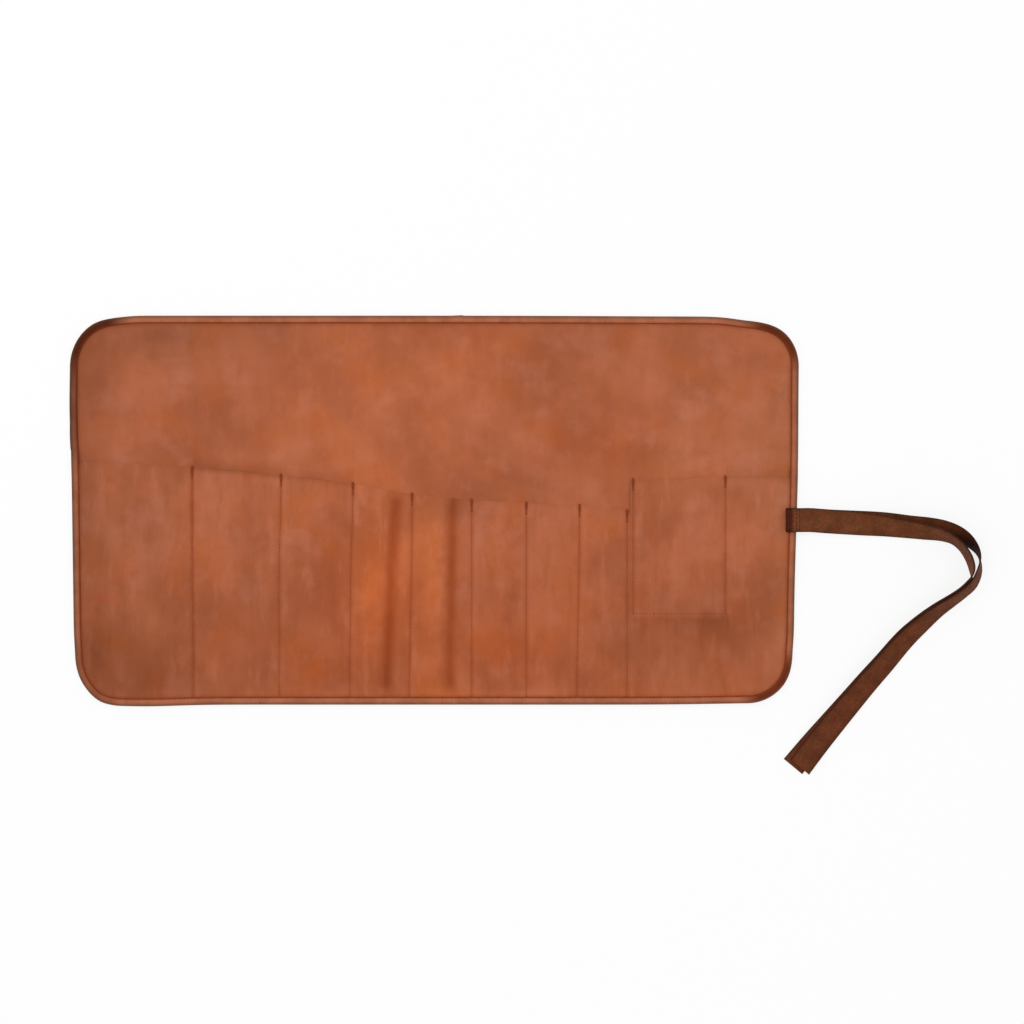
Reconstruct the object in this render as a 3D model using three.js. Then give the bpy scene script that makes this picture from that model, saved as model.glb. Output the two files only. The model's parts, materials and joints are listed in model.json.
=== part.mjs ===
// Leather knife roll, laid open with its pockets facing up.
// Millimetres. The origin lies under the middle of the sheet, with +X towards the tie strap,
// +Y towards the open upper edge and +Z up. The sheet is made in stretches that fold on each other
// along the pocket seams, so that it rolls up from its left end.
import * as THREE from 'three';

// Sheet and edge binding
const SHEET_HEIGHT = 389;
const CORNER_RADIUS = 50;
const SIDE_LEAN = 4; // how far each side comes in from its upper corner to its lower one
const BACK_THICKNESS = 2;
const BINDING_WIDTH = 8;
const BINDING_THICKNESS = 1.1;
const BINDING_BEVEL = 0.7;
const BINDING_STEP = 12; // length over which the binding climbs onto the pocket front
const EDGE_CLEARANCE = 0.3;

// Pocket front: each knife's pocket from seam to seam, and the mouth's height at its right-hand seam
const FRONT_THICKNESS = 1.6;
const LEFT_MOUTH = 244;
const CHEF_POCKET_WIDTH = 122;
const CHEF_MOUTH = 237.5;
const CARVING_POCKET_WIDTH = 89;
const CARVING_MOUTH = 229.5;
const BONING_POCKET_WIDTH = 72;
const BONING_MOUTH = 221;
const UTILITY_POCKET_WIDTH = 59;
const UTILITY_MOUTH = 210.5;
const PARING_POCKET_WIDTH = 59.5;
const PARING_MOUTH = 204.5;
const TURNING_POCKET_WIDTH = 54.5;
const TURNING_MOUTH = 201.5;
const SPREADER_POCKET_WIDTH = 53.5;
const SPREADER_MOUTH = 199;
const PEELER_POCKET_WIDTH = 50.5;
const PEELER_MOUTH = 193.5;
const KNIFE_POCKETS = [
  { width: CHEF_POCKET_WIDTH, mouth: CHEF_MOUTH },
  { width: CARVING_POCKET_WIDTH, mouth: CARVING_MOUTH },
  { width: BONING_POCKET_WIDTH, mouth: BONING_MOUTH },
  { width: UTILITY_POCKET_WIDTH, mouth: UTILITY_MOUTH },
  { width: PARING_POCKET_WIDTH, mouth: PARING_MOUTH },
  { width: TURNING_POCKET_WIDTH, mouth: TURNING_MOUTH },
  { width: SPREADER_POCKET_WIDTH, mouth: SPREADER_MOUTH },
  { width: PEELER_POCKET_WIDTH, mouth: PEELER_MOUTH },
];
const TOOL_POCKET_WIDTH = 95;
const TOOL_POCKET_FLOOR = 91; // height of its bottom seam
const TOOL_MOUTH = 225;
const END_POCKET_WIDTH = 73.5;
const END_MOUTH = 228;
const POCKET_SWELL = 5.2; // room between the back and the middle of a pocket front
const POCKET_RISE = 45; // length over which a front lifts off the back above its bottom seam
const SEAM_FLAT = 3; // front lying flat on the back beside a seam

// Folds
const LONGEST_STIFF_SPAN = 80; // a wider pocket also folds along its middle
const FOLD_SLIT = 0.4;

// Tie strap, sewn down at its fold, with two tails
const STRAP_WIDTH = 24;
const STRAP_THICKNESS = 1.8;
const STRAP_LAYER_GAP = 0.3;
const STRAP_SEWN_LENGTH = 13.5;
const LOWER_TAIL_SHORT = 4; // how much shorter the lower tail is cut
const STRAP_HEIGHT_ON_SIDE = 184.5; // middle of the strap above the lower edge

// Steps of the curves and swells
const CORNER_STEPS = 8;
const SWELL_STEPS = 8;
const RISE_STEPS = 3;
const STRAP_FOLD_STEPS = 6;

// Route of the upper tail from the sheet's edge: distance out, distance up the sheet, roll of the
// strap in degrees, spread of the tails beyond touching, sideways shift of the lower tail, and the
// share of the binding's height at which the strap still hangs
const TAIL_ROUTE = [
  [0.3, 0, 0, 0, 0, 1],
  [12, 0, 0, 0, 0, 0.82],
  [28, -1.2, 0, 0, 0, 0.36],
  [47, -2.5, 1, 0, 0, 0.06],
  [66, -4.2, 5, 0, 0.5, 0],
  [86, -6.4, 16, 0.1, 1.8, 0],
  [107, -9.2, 31, 0.3, 4, 0],
  [126, -12, 45, 1, 6.4, 0],
  [142, -15.2, 57, 2.6, 7.8, 0],
  [154.5, -20.6, 67, 5, 7.2, 0],
  [163.5, -29, 75, 7.6, 5, 0],
  [169.5, -39.5, 84, 7.8, 2.6, 0],
  [172, -50.5, 97, 5.2, 0.6, 0],
  [170, -61.5, 107, 2.4, -0.8, 0],
  [162, -71, 114, 0.8, -1, 0],
  [150.5, -79.6, 119, 0.3, -1, 0],
  [137, -89, 126, 0.1, -1.1, 0],
  [122, -101.5, 136, 0, -1.2, 0],
  [104, -118.5, 145, 0, -1.2, 0],
  [84, -142, 151, 0, -1.2, 0],
  [67.2, -161, 155, 0, -1.4, 0],
  [49.4, -182, 161, 0, -1.7, 0],
  [31.8, -202.6, 168, 0, -2.4, 0],
  [13, -224.4, 175, 0, -3.8, 0],
  [-5.6, -246.6, 180, 0, -5.6, 0],
];

// Places worked out from the sizes
const pockets = layOutPockets();
const SHEET_RIGHT = pockets.at(-1).right;
const SHEET_LEFT = pockets[0].left;
const SHEET_TOP = SHEET_HEIGHT / 2;
const SHEET_BOTTOM = -SHEET_HEIGHT / 2;
const BACK_UNDERSIDE = BINDING_THICKNESS;
const BACK_TOP = BACK_UNDERSIDE + BACK_THICKNESS;
const FRONT_TOP = BACK_TOP + FRONT_THICKNESS;
const BOUND_FRONT_TOP = FRONT_TOP + BINDING_THICKNESS;
const PANEL_INSET = BINDING_THICKNESS + EDGE_CLEARANCE;
const BOUND_FLAT = BINDING_WIDTH + SEAM_FLAT;
const STRAP_LAYER_STEP = STRAP_THICKNESS + STRAP_LAYER_GAP;

const LEATHER = new THREE.MeshStandardMaterial({ color: 0xaf613e, roughness: 0.55, metalness: 0 });
const POCKET_LEATHER = new THREE.MeshStandardMaterial({ color: 0xa95a38, roughness: 0.55, metalness: 0 });
const BINDING_LEATHER = new THREE.MeshStandardMaterial({ color: 0x9c5636, roughness: 0.5, metalness: 0 });
const STRAP_LEATHER = new THREE.MeshStandardMaterial({ color: 0x643723, roughness: 0.6, metalness: 0 });

// The pockets from left to right, each with its seams, its floor and the mouth's height at both seams
function layOutPockets() {
  const rows = KNIFE_POCKETS.map((pocket, i) => ({
    width: pocket.width,
    mouthLeft: i === 0 ? LEFT_MOUTH : KNIFE_POCKETS[i - 1].mouth,
    mouthRight: pocket.mouth,
    floor: 0,
    kind: 'pocket_front',
  }));
  rows.push({
    width: TOOL_POCKET_WIDTH,
    mouthLeft: TOOL_MOUTH,
    mouthRight: END_MOUTH,
    floor: TOOL_POCKET_FLOOR,
    kind: 'tool_pocket_front',
  });
  rows.push({
    width: END_POCKET_WIDTH,
    mouthLeft: END_MOUTH,
    mouthRight: END_MOUTH,
    floor: 0,
    kind: 'end_pocket_front',
  });
  let left = -rows.reduce((sum, row) => sum + row.width, 0) / 2;
  for (const row of rows) {
    row.left = left;
    left += row.width;
    row.right = left;
  }
  return rows;
}

// The stretches between folds: whole pockets, and parts of the wide ones. No fold crosses a round corner
function layOutStretches() {
  const stretches = [];
  const firstFold = SHEET_LEFT + CORNER_RADIUS + SEAM_FLAT;
  const lastFold = SHEET_RIGHT - CORNER_RADIUS - SEAM_FLAT;
  for (const pocket of pockets) {
    const count = Math.ceil(pocket.width / LONGEST_STIFF_SPAN);
    let left = pocket.left;
    for (let i = 1; i <= count; i += 1) {
      const even = pocket.left + (pocket.width * i) / count;
      const right = i === count ? pocket.right : THREE.MathUtils.clamp(even, firstFold, lastFold);
      stretches.push({ pocket, left, right });
      left = right;
    }
  }
  stretches.forEach((stretch, i) => {
    stretch.label = String(i + 1).padStart(2, '0');
    stretch.isFirst = i === 0;
    stretch.isLast = i === stretches.length - 1;
    stretch.from = stretch.isFirst ? SHEET_LEFT : stretch.left + FOLD_SLIT / 2;
    stretch.to = stretch.isLast ? SHEET_RIGHT : stretch.right - FOLD_SLIT / 2;
  });
  return stretches;
}

function namedMesh(name, geometry, material) {
  const mesh = new THREE.Mesh(geometry, material);
  mesh.name = name;
  return mesh;
}

// Side of the sheet that a stretch ends on: -1 at the left end, +1 at the right end, 0 between
function outerSide(stretch) {
  if (stretch.isFirst) return -1;
  return stretch.isLast ? 1 : 0;
}

// Lean an end stretch's side in towards its lower corner, fading out towards its fold
function leanSide(geometry, stretch) {
  const side = outerSide(stretch);
  if (side === 0) return geometry;
  const outer = side < 0 ? SHEET_LEFT : SHEET_RIGHT;
  const fold = side < 0 ? stretch.right : stretch.left;
  const cornerTop = SHEET_TOP - CORNER_RADIUS;
  const sideLength = SHEET_HEIGHT - 2 * CORNER_RADIUS;
  const position = geometry.attributes.position;
  for (let i = 0; i < position.count; i += 1) {
    const x = position.getX(i);
    const down = THREE.MathUtils.clamp((cornerTop - position.getY(i)) / sideLength, 0, 1);
    const outward = THREE.MathUtils.clamp((x - fold) / (outer - fold), 0, 1);
    position.setX(i, x - side * SIDE_LEAN * down * outward);
  }
  return geometry;
}

function indexedGeometry(positions, index) {
  const geometry = new THREE.BufferGeometry();
  geometry.setAttribute('position', new THREE.Float32BufferAttribute(positions, 3));
  geometry.setIndex(index);
  geometry.computeVertexNormals();
  return geometry;
}

// Closed body through equal rings of points, with a flat face at each end
function loftSolid(rings, endTriangles) {
  const count = rings[0].length;
  const index = [];
  for (let i = 0; i + 1 < rings.length; i += 1) {
    for (let k = 0; k < count; k += 1) {
      const a = i * count + k;
      const b = i * count + ((k + 1) % count);
      index.push(a, b, b + count, a, b + count, a + count);
    }
  }
  const last = (rings.length - 1) * count;
  for (const [a, b, c] of endTriangles) {
    index.push(c, b, a, last + a, last + b, last + c);
  }
  const positions = rings.flat().flatMap((point) => point.toArray());
  return indexedGeometry(positions, index);
}

// Closed sheet from columns of points, each with a place, an underside and a top
function sheetSolid(columns) {
  const rows = columns[0].length;
  const layer = columns.length * rows;
  const positions = [];
  for (const side of ['under', 'top']) {
    for (const point of columns.flat()) positions.push(point.x, point.y, point[side]);
  }
  const under = (c, r) => c * rows + r;
  const top = (c, r) => layer + c * rows + r;
  const index = [];
  const quad = (a, b, c, d) => index.push(a, b, c, a, c, d);
  for (let c = 0; c + 1 < columns.length; c += 1) {
    for (let r = 0; r + 1 < rows; r += 1) {
      quad(top(c, r), top(c + 1, r), top(c + 1, r + 1), top(c, r + 1));
      quad(under(c, r), under(c, r + 1), under(c + 1, r + 1), under(c + 1, r));
    }
    const end = rows - 1;
    quad(under(c, 0), under(c + 1, 0), top(c + 1, 0), top(c, 0));
    quad(under(c + 1, end), under(c, end), top(c, end), top(c + 1, end));
  }
  for (let r = 0; r + 1 < rows; r += 1) {
    const end = columns.length - 1;
    quad(under(0, r + 1), under(0, r), top(0, r), top(0, r + 1));
    quad(under(end, r), under(end, r + 1), top(end, r + 1), top(end, r));
  }
  return indexedGeometry(positions, index);
}

// Back panel: a flat plate with round outer corners on the end stretches
function backPanel(stretch) {
  const low = SHEET_BOTTOM + PANEL_INSET;
  const high = SHEET_TOP - PANEL_INSET;
  const round = CORNER_RADIUS - PANEL_INSET;
  const outline = new THREE.Shape();
  if (stretch.isFirst) {
    const x = SHEET_LEFT + CORNER_RADIUS;
    outline.moveTo(stretch.to, low);
    outline.lineTo(stretch.to, high);
    outline.absarc(x, SHEET_TOP - CORNER_RADIUS, round, Math.PI / 2, Math.PI);
    outline.absarc(x, SHEET_BOTTOM + CORNER_RADIUS, round, Math.PI, Math.PI * 1.5);
  } else if (stretch.isLast) {
    const x = SHEET_RIGHT - CORNER_RADIUS;
    outline.moveTo(stretch.from, high);
    outline.lineTo(stretch.from, low);
    outline.absarc(x, SHEET_BOTTOM + CORNER_RADIUS, round, -Math.PI / 2, 0);
    outline.absarc(x, SHEET_TOP - CORNER_RADIUS, round, 0, Math.PI / 2);
  } else {
    outline.moveTo(stretch.from, low);
    outline.lineTo(stretch.to, low);
    outline.lineTo(stretch.to, high);
    outline.lineTo(stretch.from, high);
  }
  const plate = new THREE.ExtrudeGeometry(outline, {
    depth: BACK_THICKNESS,
    bevelEnabled: false,
    curveSegments: CORNER_STEPS,
  });
  plate.translate(0, 0, BACK_UNDERSIDE);
  return namedMesh(`back_panel_${stretch.label}`, leanSide(plate, stretch), LEATHER);
}

// Lower edge of the sheet at x, drawn in by an inset and following the round corners
function lowerEdge(x, inset) {
  const fromCorner = Math.max(SHEET_LEFT + CORNER_RADIUS - x, x - SHEET_RIGHT + CORNER_RADIUS, 0);
  const drop = Math.sqrt(Math.max((CORNER_RADIUS - inset) ** 2 - fromCorner ** 2, 0));
  return SHEET_BOTTOM + CORNER_RADIUS - drop;
}

// Where a pocket's front lifts off its flat seams, from left to right
function swellSpan(pocket) {
  const left = pocket.left + (pocket.left === SHEET_LEFT ? BOUND_FLAT : SEAM_FLAT);
  const right = pocket.right - (pocket.right === SHEET_RIGHT ? BOUND_FLAT : SEAM_FLAT);
  return { left, right };
}

// Part of a pocket's width between its flat seams, 0 to 1, that x has reached
function acrossPocket(pocket, x) {
  const { left, right } = swellSpan(pocket);
  return THREE.MathUtils.clamp((x - left) / (right - left), 0, 1);
}

// Places across a stretch where its pocket front is given points
function frontColumns(stretch) {
  const { pocket, from, to } = stretch;
  const places = [];
  const cornerLeft = SHEET_LEFT + CORNER_RADIUS;
  const cornerRight = SHEET_RIGHT - CORNER_RADIUS;
  const { left, right } = swellSpan(pocket);
  for (let i = 0; i <= SWELL_STEPS; i += 1) {
    const x = left + ((right - left) * i) / SWELL_STEPS;
    const inCorner = (stretch.isFirst && x < cornerLeft) || (stretch.isLast && x > cornerRight);
    if (!inCorner && x > from && x < to) places.push(x);
  }
  const round = CORNER_RADIUS - PANEL_INSET;
  for (let i = 0; i <= CORNER_STEPS; i += 1) {
    const reach = round * Math.cos((Math.PI / 2) * (i / CORNER_STEPS));
    if (stretch.isFirst) places.push(cornerLeft - reach);
    if (stretch.isLast) places.push(cornerRight + reach);
  }
  if (!stretch.isFirst) places.push(from);
  if (!stretch.isLast) places.push(to);
  return places.sort((a, b) => a - b);
}

// Pocket front: flat along its seams, swelling off the back towards the mouth
function pocketFront(stretch) {
  const { pocket } = stretch;
  const columns = frontColumns(stretch).map((x) => {
    const across = acrossPocket(pocket, x);
    const swell = POCKET_SWELL * (1 - (2 * across - 1) ** 4);
    const along = (x - pocket.left) / pocket.width;
    const mouth = SHEET_BOTTOM + THREE.MathUtils.lerp(pocket.mouthLeft, pocket.mouthRight, along);
    const hem = lowerEdge(x, PANEL_INSET);
    const seam = Math.max(lowerEdge(x, BOUND_FLAT), hem + SEAM_FLAT) + Math.max(pocket.floor - BOUND_FLAT, 0);
    const point = (y, share) => ({
      x,
      y,
      under: BACK_TOP + swell * share,
      top: FRONT_TOP + swell * share,
    });
    const column = [point(hem, 0), point(seam, 0)];
    for (let i = 1; i <= RISE_STEPS; i += 1) {
      const part = i / RISE_STEPS;
      column.push(point(seam + POCKET_RISE * part, Math.sin((Math.PI / 2) * part)));
    }
    column.push(point(mouth, 1));
    return column;
  });
  const name = `${pocket.kind}_${stretch.label}`;
  return namedMesh(name, leanSide(sheetSolid(columns), stretch), POCKET_LEATHER);
}

// Folded binding section, inward from the edge and up, round a stack of the given thickness
function bindingSection(stack) {
  const height = stack + 2 * BINDING_THICKNESS;
  return [
    [BINDING_BEVEL, 0],
    [BINDING_WIDTH, 0],
    [BINDING_WIDTH, BINDING_THICKNESS],
    [BINDING_THICKNESS, BINDING_THICKNESS],
    [BINDING_THICKNESS, height - BINDING_THICKNESS],
    [BINDING_WIDTH, height - BINDING_THICKNESS],
    [BINDING_WIDTH, height],
    [BINDING_BEVEL, height],
    [0, height - BINDING_BEVEL],
    [0, BINDING_BEVEL],
  ].map(([inward, up]) => new THREE.Vector2(inward, up));
}

// Binding along stations on the sheet's edge, counter-clockwise seen from above
function bindingRun(stations) {
  const rings = stations.map(({ x, y, inwardX, inwardY, stack }) =>
    bindingSection(stack).map((p) => new THREE.Vector3(x + inwardX * p.x, y + inwardY * p.x, p.y)),
  );
  return loftSolid(rings, THREE.ShapeUtils.triangulateShape(bindingSection(BACK_THICKNESS), []));
}

function upperBinding(stretch) {
  const station = (x) => ({ x, y: SHEET_TOP, inwardX: 0, inwardY: -1, stack: BACK_THICKNESS });
  const run = bindingRun([station(stretch.to), station(stretch.from)]);
  return namedMesh(`binding_top_${stretch.label}`, run, BINDING_LEATHER);
}

function lowerBinding(stretch) {
  const stack = BACK_THICKNESS + FRONT_THICKNESS;
  const station = (x) => ({ x, y: SHEET_BOTTOM, inwardX: 0, inwardY: 1, stack });
  const run = bindingRun([station(stretch.from), station(stretch.to)]);
  return namedMesh(`binding_bottom_${stretch.label}`, run, BINDING_LEATHER);
}

// Binding round an end of the sheet, from its upper fold to its lower one, over the pocket mouth's step
function endBinding(stretch, name) {
  const side = outerSide(stretch);
  const fold = side < 0 ? stretch.to : stretch.from;
  const cornerX = side < 0 ? SHEET_LEFT + CORNER_RADIUS : SHEET_RIGHT - CORNER_RADIUS;
  const edgeX = cornerX + side * CORNER_RADIUS;
  const mouthHeight = side < 0 ? stretch.pocket.mouthLeft : stretch.pocket.mouthRight;
  const mouth = SHEET_BOTTOM + mouthHeight + EDGE_CLEARANCE;
  const thin = BACK_THICKNESS;
  const thick = BACK_THICKNESS + FRONT_THICKNESS;
  const stations = [{ x: fold, y: SHEET_TOP, inwardX: 0, inwardY: -1, stack: thin }];
  const corner = (centreY, startAngle, stack) => {
    for (let i = 0; i <= CORNER_STEPS; i += 1) {
      const angle = startAngle - (Math.PI / 2) * (i / CORNER_STEPS);
      const outX = side * Math.cos(angle);
      const outY = Math.sin(angle);
      stations.push({
        x: cornerX + CORNER_RADIUS * outX,
        y: centreY + CORNER_RADIUS * outY,
        inwardX: -outX,
        inwardY: -outY,
        stack,
      });
    }
  };
  corner(SHEET_TOP - CORNER_RADIUS, Math.PI / 2, thin);
  stations.push({ x: edgeX, y: mouth + BINDING_STEP, inwardX: -side, inwardY: 0, stack: thin });
  stations.push({ x: edgeX, y: mouth, inwardX: -side, inwardY: 0, stack: thick });
  corner(SHEET_BOTTOM + CORNER_RADIUS, 0, thick);
  stations.push({ x: fold, y: SHEET_BOTTOM, inwardX: 0, inwardY: 1, stack: thick });
  if (side > 0) stations.reverse();
  return namedMesh(name, leanSide(bindingRun(stations), stretch), BINDING_LEATHER);
}

// Sewn fold of the tie strap: two layers joined by a round turn, lying on the binding
function strapFold() {
  const inner = STRAP_LAYER_GAP / 2;
  const outer = inner + STRAP_THICKNESS;
  const turn = SHEET_RIGHT - STRAP_SEWN_LENGTH + outer;
  const section = new THREE.Shape();
  section.moveTo(SHEET_RIGHT, inner);
  section.lineTo(SHEET_RIGHT, outer);
  section.absarc(turn, 0, outer, Math.PI / 2, Math.PI * 1.5);
  section.lineTo(SHEET_RIGHT, -outer);
  section.lineTo(SHEET_RIGHT, -inner);
  section.absarc(turn, 0, inner, Math.PI * 1.5, Math.PI / 2, true);
  const fold = new THREE.ExtrudeGeometry(section, {
    depth: STRAP_WIDTH,
    bevelEnabled: false,
    curveSegments: STRAP_FOLD_STEPS,
  });
  fold.rotateX(Math.PI / 2);
  const middle = SHEET_BOTTOM + STRAP_HEIGHT_ON_SIDE;
  fold.translate(0, middle + STRAP_WIDTH / 2, BOUND_FRONT_TOP + outer);
  return namedMesh('tie_strap_fold', fold, STRAP_LEATHER);
}

// One tail of the tie strap: a flat ribbon that lies down, stands on its edge round the bend and lies down again
function strapTail(name, isUpper) {
  const plan = TAIL_ROUTE.map(([out, up]) => new THREE.Vector2(out, up));
  const half = STRAP_WIDTH / 2;
  const thin = STRAP_THICKNESS / 2;
  const rings = TAIL_ROUTE.map(([out, up, rollDegrees, spread, shift, hang], i) => {
    const before = plan[Math.max(i - 1, 0)];
    const after = plan[Math.min(i + 1, plan.length - 1)];
    const heading = after.clone().sub(before).normalize();
    const roll = THREE.MathUtils.degToRad(rollDegrees);
    const left = new THREE.Vector3(-heading.y, heading.x, 0);
    const upright = new THREE.Vector3(0, 0, 1);
    const across = left.clone().multiplyScalar(Math.cos(roll)).addScaledVector(upright, Math.sin(roll));
    const face = upright.clone().multiplyScalar(Math.cos(roll)).addScaledVector(left, -Math.sin(roll));
    const step = STRAP_LAYER_STEP + spread;
    const edgeDrop = half * Math.abs(Math.sin(roll)) + thin * Math.abs(Math.cos(roll));
    const lowerDrop = Math.max(step * Math.cos(roll) - shift * Math.sin(roll), 0);
    const middle = new THREE.Vector3(
      SHEET_RIGHT + out,
      SHEET_BOTTOM + STRAP_HEIGHT_ON_SIDE + up,
      edgeDrop + lowerDrop + hang * BOUND_FRONT_TOP,
    );
    if (!isUpper) {
      const trim = i === plan.length - 1 ? LOWER_TAIL_SHORT : 0;
      middle.addScaledVector(face, -step).addScaledVector(across, shift);
      middle.add(new THREE.Vector3(-heading.x * trim, -heading.y * trim, 0));
    }
    const corner = (a, f) => middle.clone().addScaledVector(across, a * half).addScaledVector(face, f * thin);
    return [corner(-1, -1), corner(1, -1), corner(1, 1), corner(-1, 1)];
  });
  const ends = [
    [0, 1, 2],
    [0, 2, 3],
  ];
  return namedMesh(name, loftSolid(rings, ends), STRAP_LEATHER);
}

const knifeRoll = new THREE.Group();
for (const stretch of layOutStretches()) {
  const part = new THREE.Group();
  part.add(backPanel(stretch), pocketFront(stretch));
  if (stretch.isFirst) {
    part.add(endBinding(stretch, 'binding_left_end'));
  } else if (stretch.isLast) {
    part.add(endBinding(stretch, 'binding_right_end'), strapFold());
    part.add(strapTail('tie_tail_upper', true), strapTail('tie_tail_lower', false));
  } else {
    part.add(upperBinding(stretch), lowerBinding(stretch));
  }
  knifeRoll.add(part);
}

export default knifeRoll;
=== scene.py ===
import json
import math

import bmesh
import bpy
import numpy as np
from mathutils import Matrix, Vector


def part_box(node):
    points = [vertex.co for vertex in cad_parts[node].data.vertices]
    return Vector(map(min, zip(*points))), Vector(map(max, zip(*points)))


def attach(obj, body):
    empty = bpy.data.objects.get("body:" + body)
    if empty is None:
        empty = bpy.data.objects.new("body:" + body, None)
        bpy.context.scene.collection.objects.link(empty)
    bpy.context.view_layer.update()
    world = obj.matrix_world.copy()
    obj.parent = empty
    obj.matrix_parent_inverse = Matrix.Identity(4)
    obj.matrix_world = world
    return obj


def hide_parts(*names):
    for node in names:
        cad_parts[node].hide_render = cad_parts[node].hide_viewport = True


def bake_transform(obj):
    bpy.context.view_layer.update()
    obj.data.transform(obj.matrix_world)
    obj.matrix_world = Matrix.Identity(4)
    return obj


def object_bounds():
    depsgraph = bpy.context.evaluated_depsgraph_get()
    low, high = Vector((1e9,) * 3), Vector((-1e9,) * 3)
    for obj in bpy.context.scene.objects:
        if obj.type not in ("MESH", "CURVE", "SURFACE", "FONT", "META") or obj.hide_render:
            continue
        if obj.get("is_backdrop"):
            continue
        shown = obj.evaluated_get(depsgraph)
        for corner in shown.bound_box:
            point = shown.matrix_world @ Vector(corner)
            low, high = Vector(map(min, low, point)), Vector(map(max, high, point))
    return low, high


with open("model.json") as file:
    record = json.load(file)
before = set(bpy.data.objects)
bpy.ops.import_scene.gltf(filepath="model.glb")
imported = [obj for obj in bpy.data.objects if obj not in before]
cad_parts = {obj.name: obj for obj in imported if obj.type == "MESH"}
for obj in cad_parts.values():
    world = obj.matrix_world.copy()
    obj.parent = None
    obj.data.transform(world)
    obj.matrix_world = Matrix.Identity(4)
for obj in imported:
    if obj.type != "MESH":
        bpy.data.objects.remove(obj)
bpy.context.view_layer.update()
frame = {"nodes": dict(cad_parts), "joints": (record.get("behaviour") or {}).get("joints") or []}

# Back of the roll
# One sheet of tan pull-up leather, 2 mm thick, cut with four round corners. It lies on the table and
# carries everything else. It bends along the pocket seams, so it is made in one piece for each fold.
CORNER_RADIUS = 0.050
SIDE_LEAN = 0.004  # how far each side comes in from its upper corner to its lower one
BINDING_WIDTH = 0.008
PANEL_INSET = 0.0014  # the sheet's edge lies this far inside the binding's edge
GRID_STEP = 0.0022
CORNER_COLUMNS = 18
SEAM_STEP = 0.0011  # closer columns beside a fold, where the seams lie
SEAM_COLUMNS = 4  # this many of them on each side
BACK_ROWS = 150
BACK_WAVE = 0.0005  # slack of the leather between the edges
WAVE_FADE = 0.03
EDGE_SHADE = 0.05  # the hide darkens towards the binding
EDGE_SHADE_WIDTH = 0.009
GROOVE_SHADE_TINT = (0.84, 0.78, 0.70)  # painted shade in the groove just inside the binding
GROOVE_PLACE = 0.0085
GROOVE_WIDTH = 0.0014
TINY = 1e-6  # smaller differences are rounding

sheet_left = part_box("binding_left_end")[0].x
sheet_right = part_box("binding_right_end")[1].x
sheet_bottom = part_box("binding_bottom_05")[0].y
sheet_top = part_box("binding_top_05")[1].y
back_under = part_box("back_panel_05")[0].z
back_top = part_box("back_panel_05")[1].z
folds = sorted(frame["joints"], key=lambda joint: joint["pos_m"][0])
fold_x = [joint["pos_m"][0] for joint in folds]
LAST_FOLD = len(folds) - 1
cuts = [sheet_left] + [(a + b) / 2 for a, b in zip(fold_x, fold_x[1:])] + [sheet_right]

# Places where sewing pulled the sheet out of true: across and up, half sizes, movement across and up
PULLS = [
    (0.322, 0.194, 0.027, 0.035, 0.0, -0.0046),
    (-0.290, -0.194, 0.045, 0.050, 0.0, -0.0017),
    (0.330, -0.194, 0.070, 0.050, 0.0, 0.0014),
    (0.364, -0.100, 0.050, 0.080, -0.0012, 0.0),
    (0.364, 0.050, 0.050, 0.060, 0.0007, 0.0),
    (-0.364, 0.100, 0.030, 0.040, -0.0014, 0.0),
    (-0.022, -0.190, 0.022, 0.110, -0.0030, 0.0),
    (0.145, -0.190, 0.022, 0.110, -0.0030, 0.0),
    (-0.322, 0.194, 0.016, 0.030, 0.0, -0.0020),
    (0.300, 0.194, 0.160, 0.050, 0.0, -0.0009),
    (-0.339, -0.194, 0.012, 0.030, 0.0, -0.0014),
    (-0.360, -0.150, 0.030, 0.020, 0.0011, 0.0),
    (0.360, -0.150, 0.030, 0.020, -0.0016, 0.0),
    (-0.155, -0.070, 0.022, 0.060, -0.0022, 0.0),
    (-0.155, -0.170, 0.022, 0.060, -0.0018, 0.0),
    (-0.083, -0.070, 0.022, 0.060, -0.0024, 0.0),
    (-0.083, -0.170, 0.022, 0.060, -0.0034, 0.0),
    (-0.242, -0.150, 0.022, 0.060, 0.0013, 0.0),
]
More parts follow.
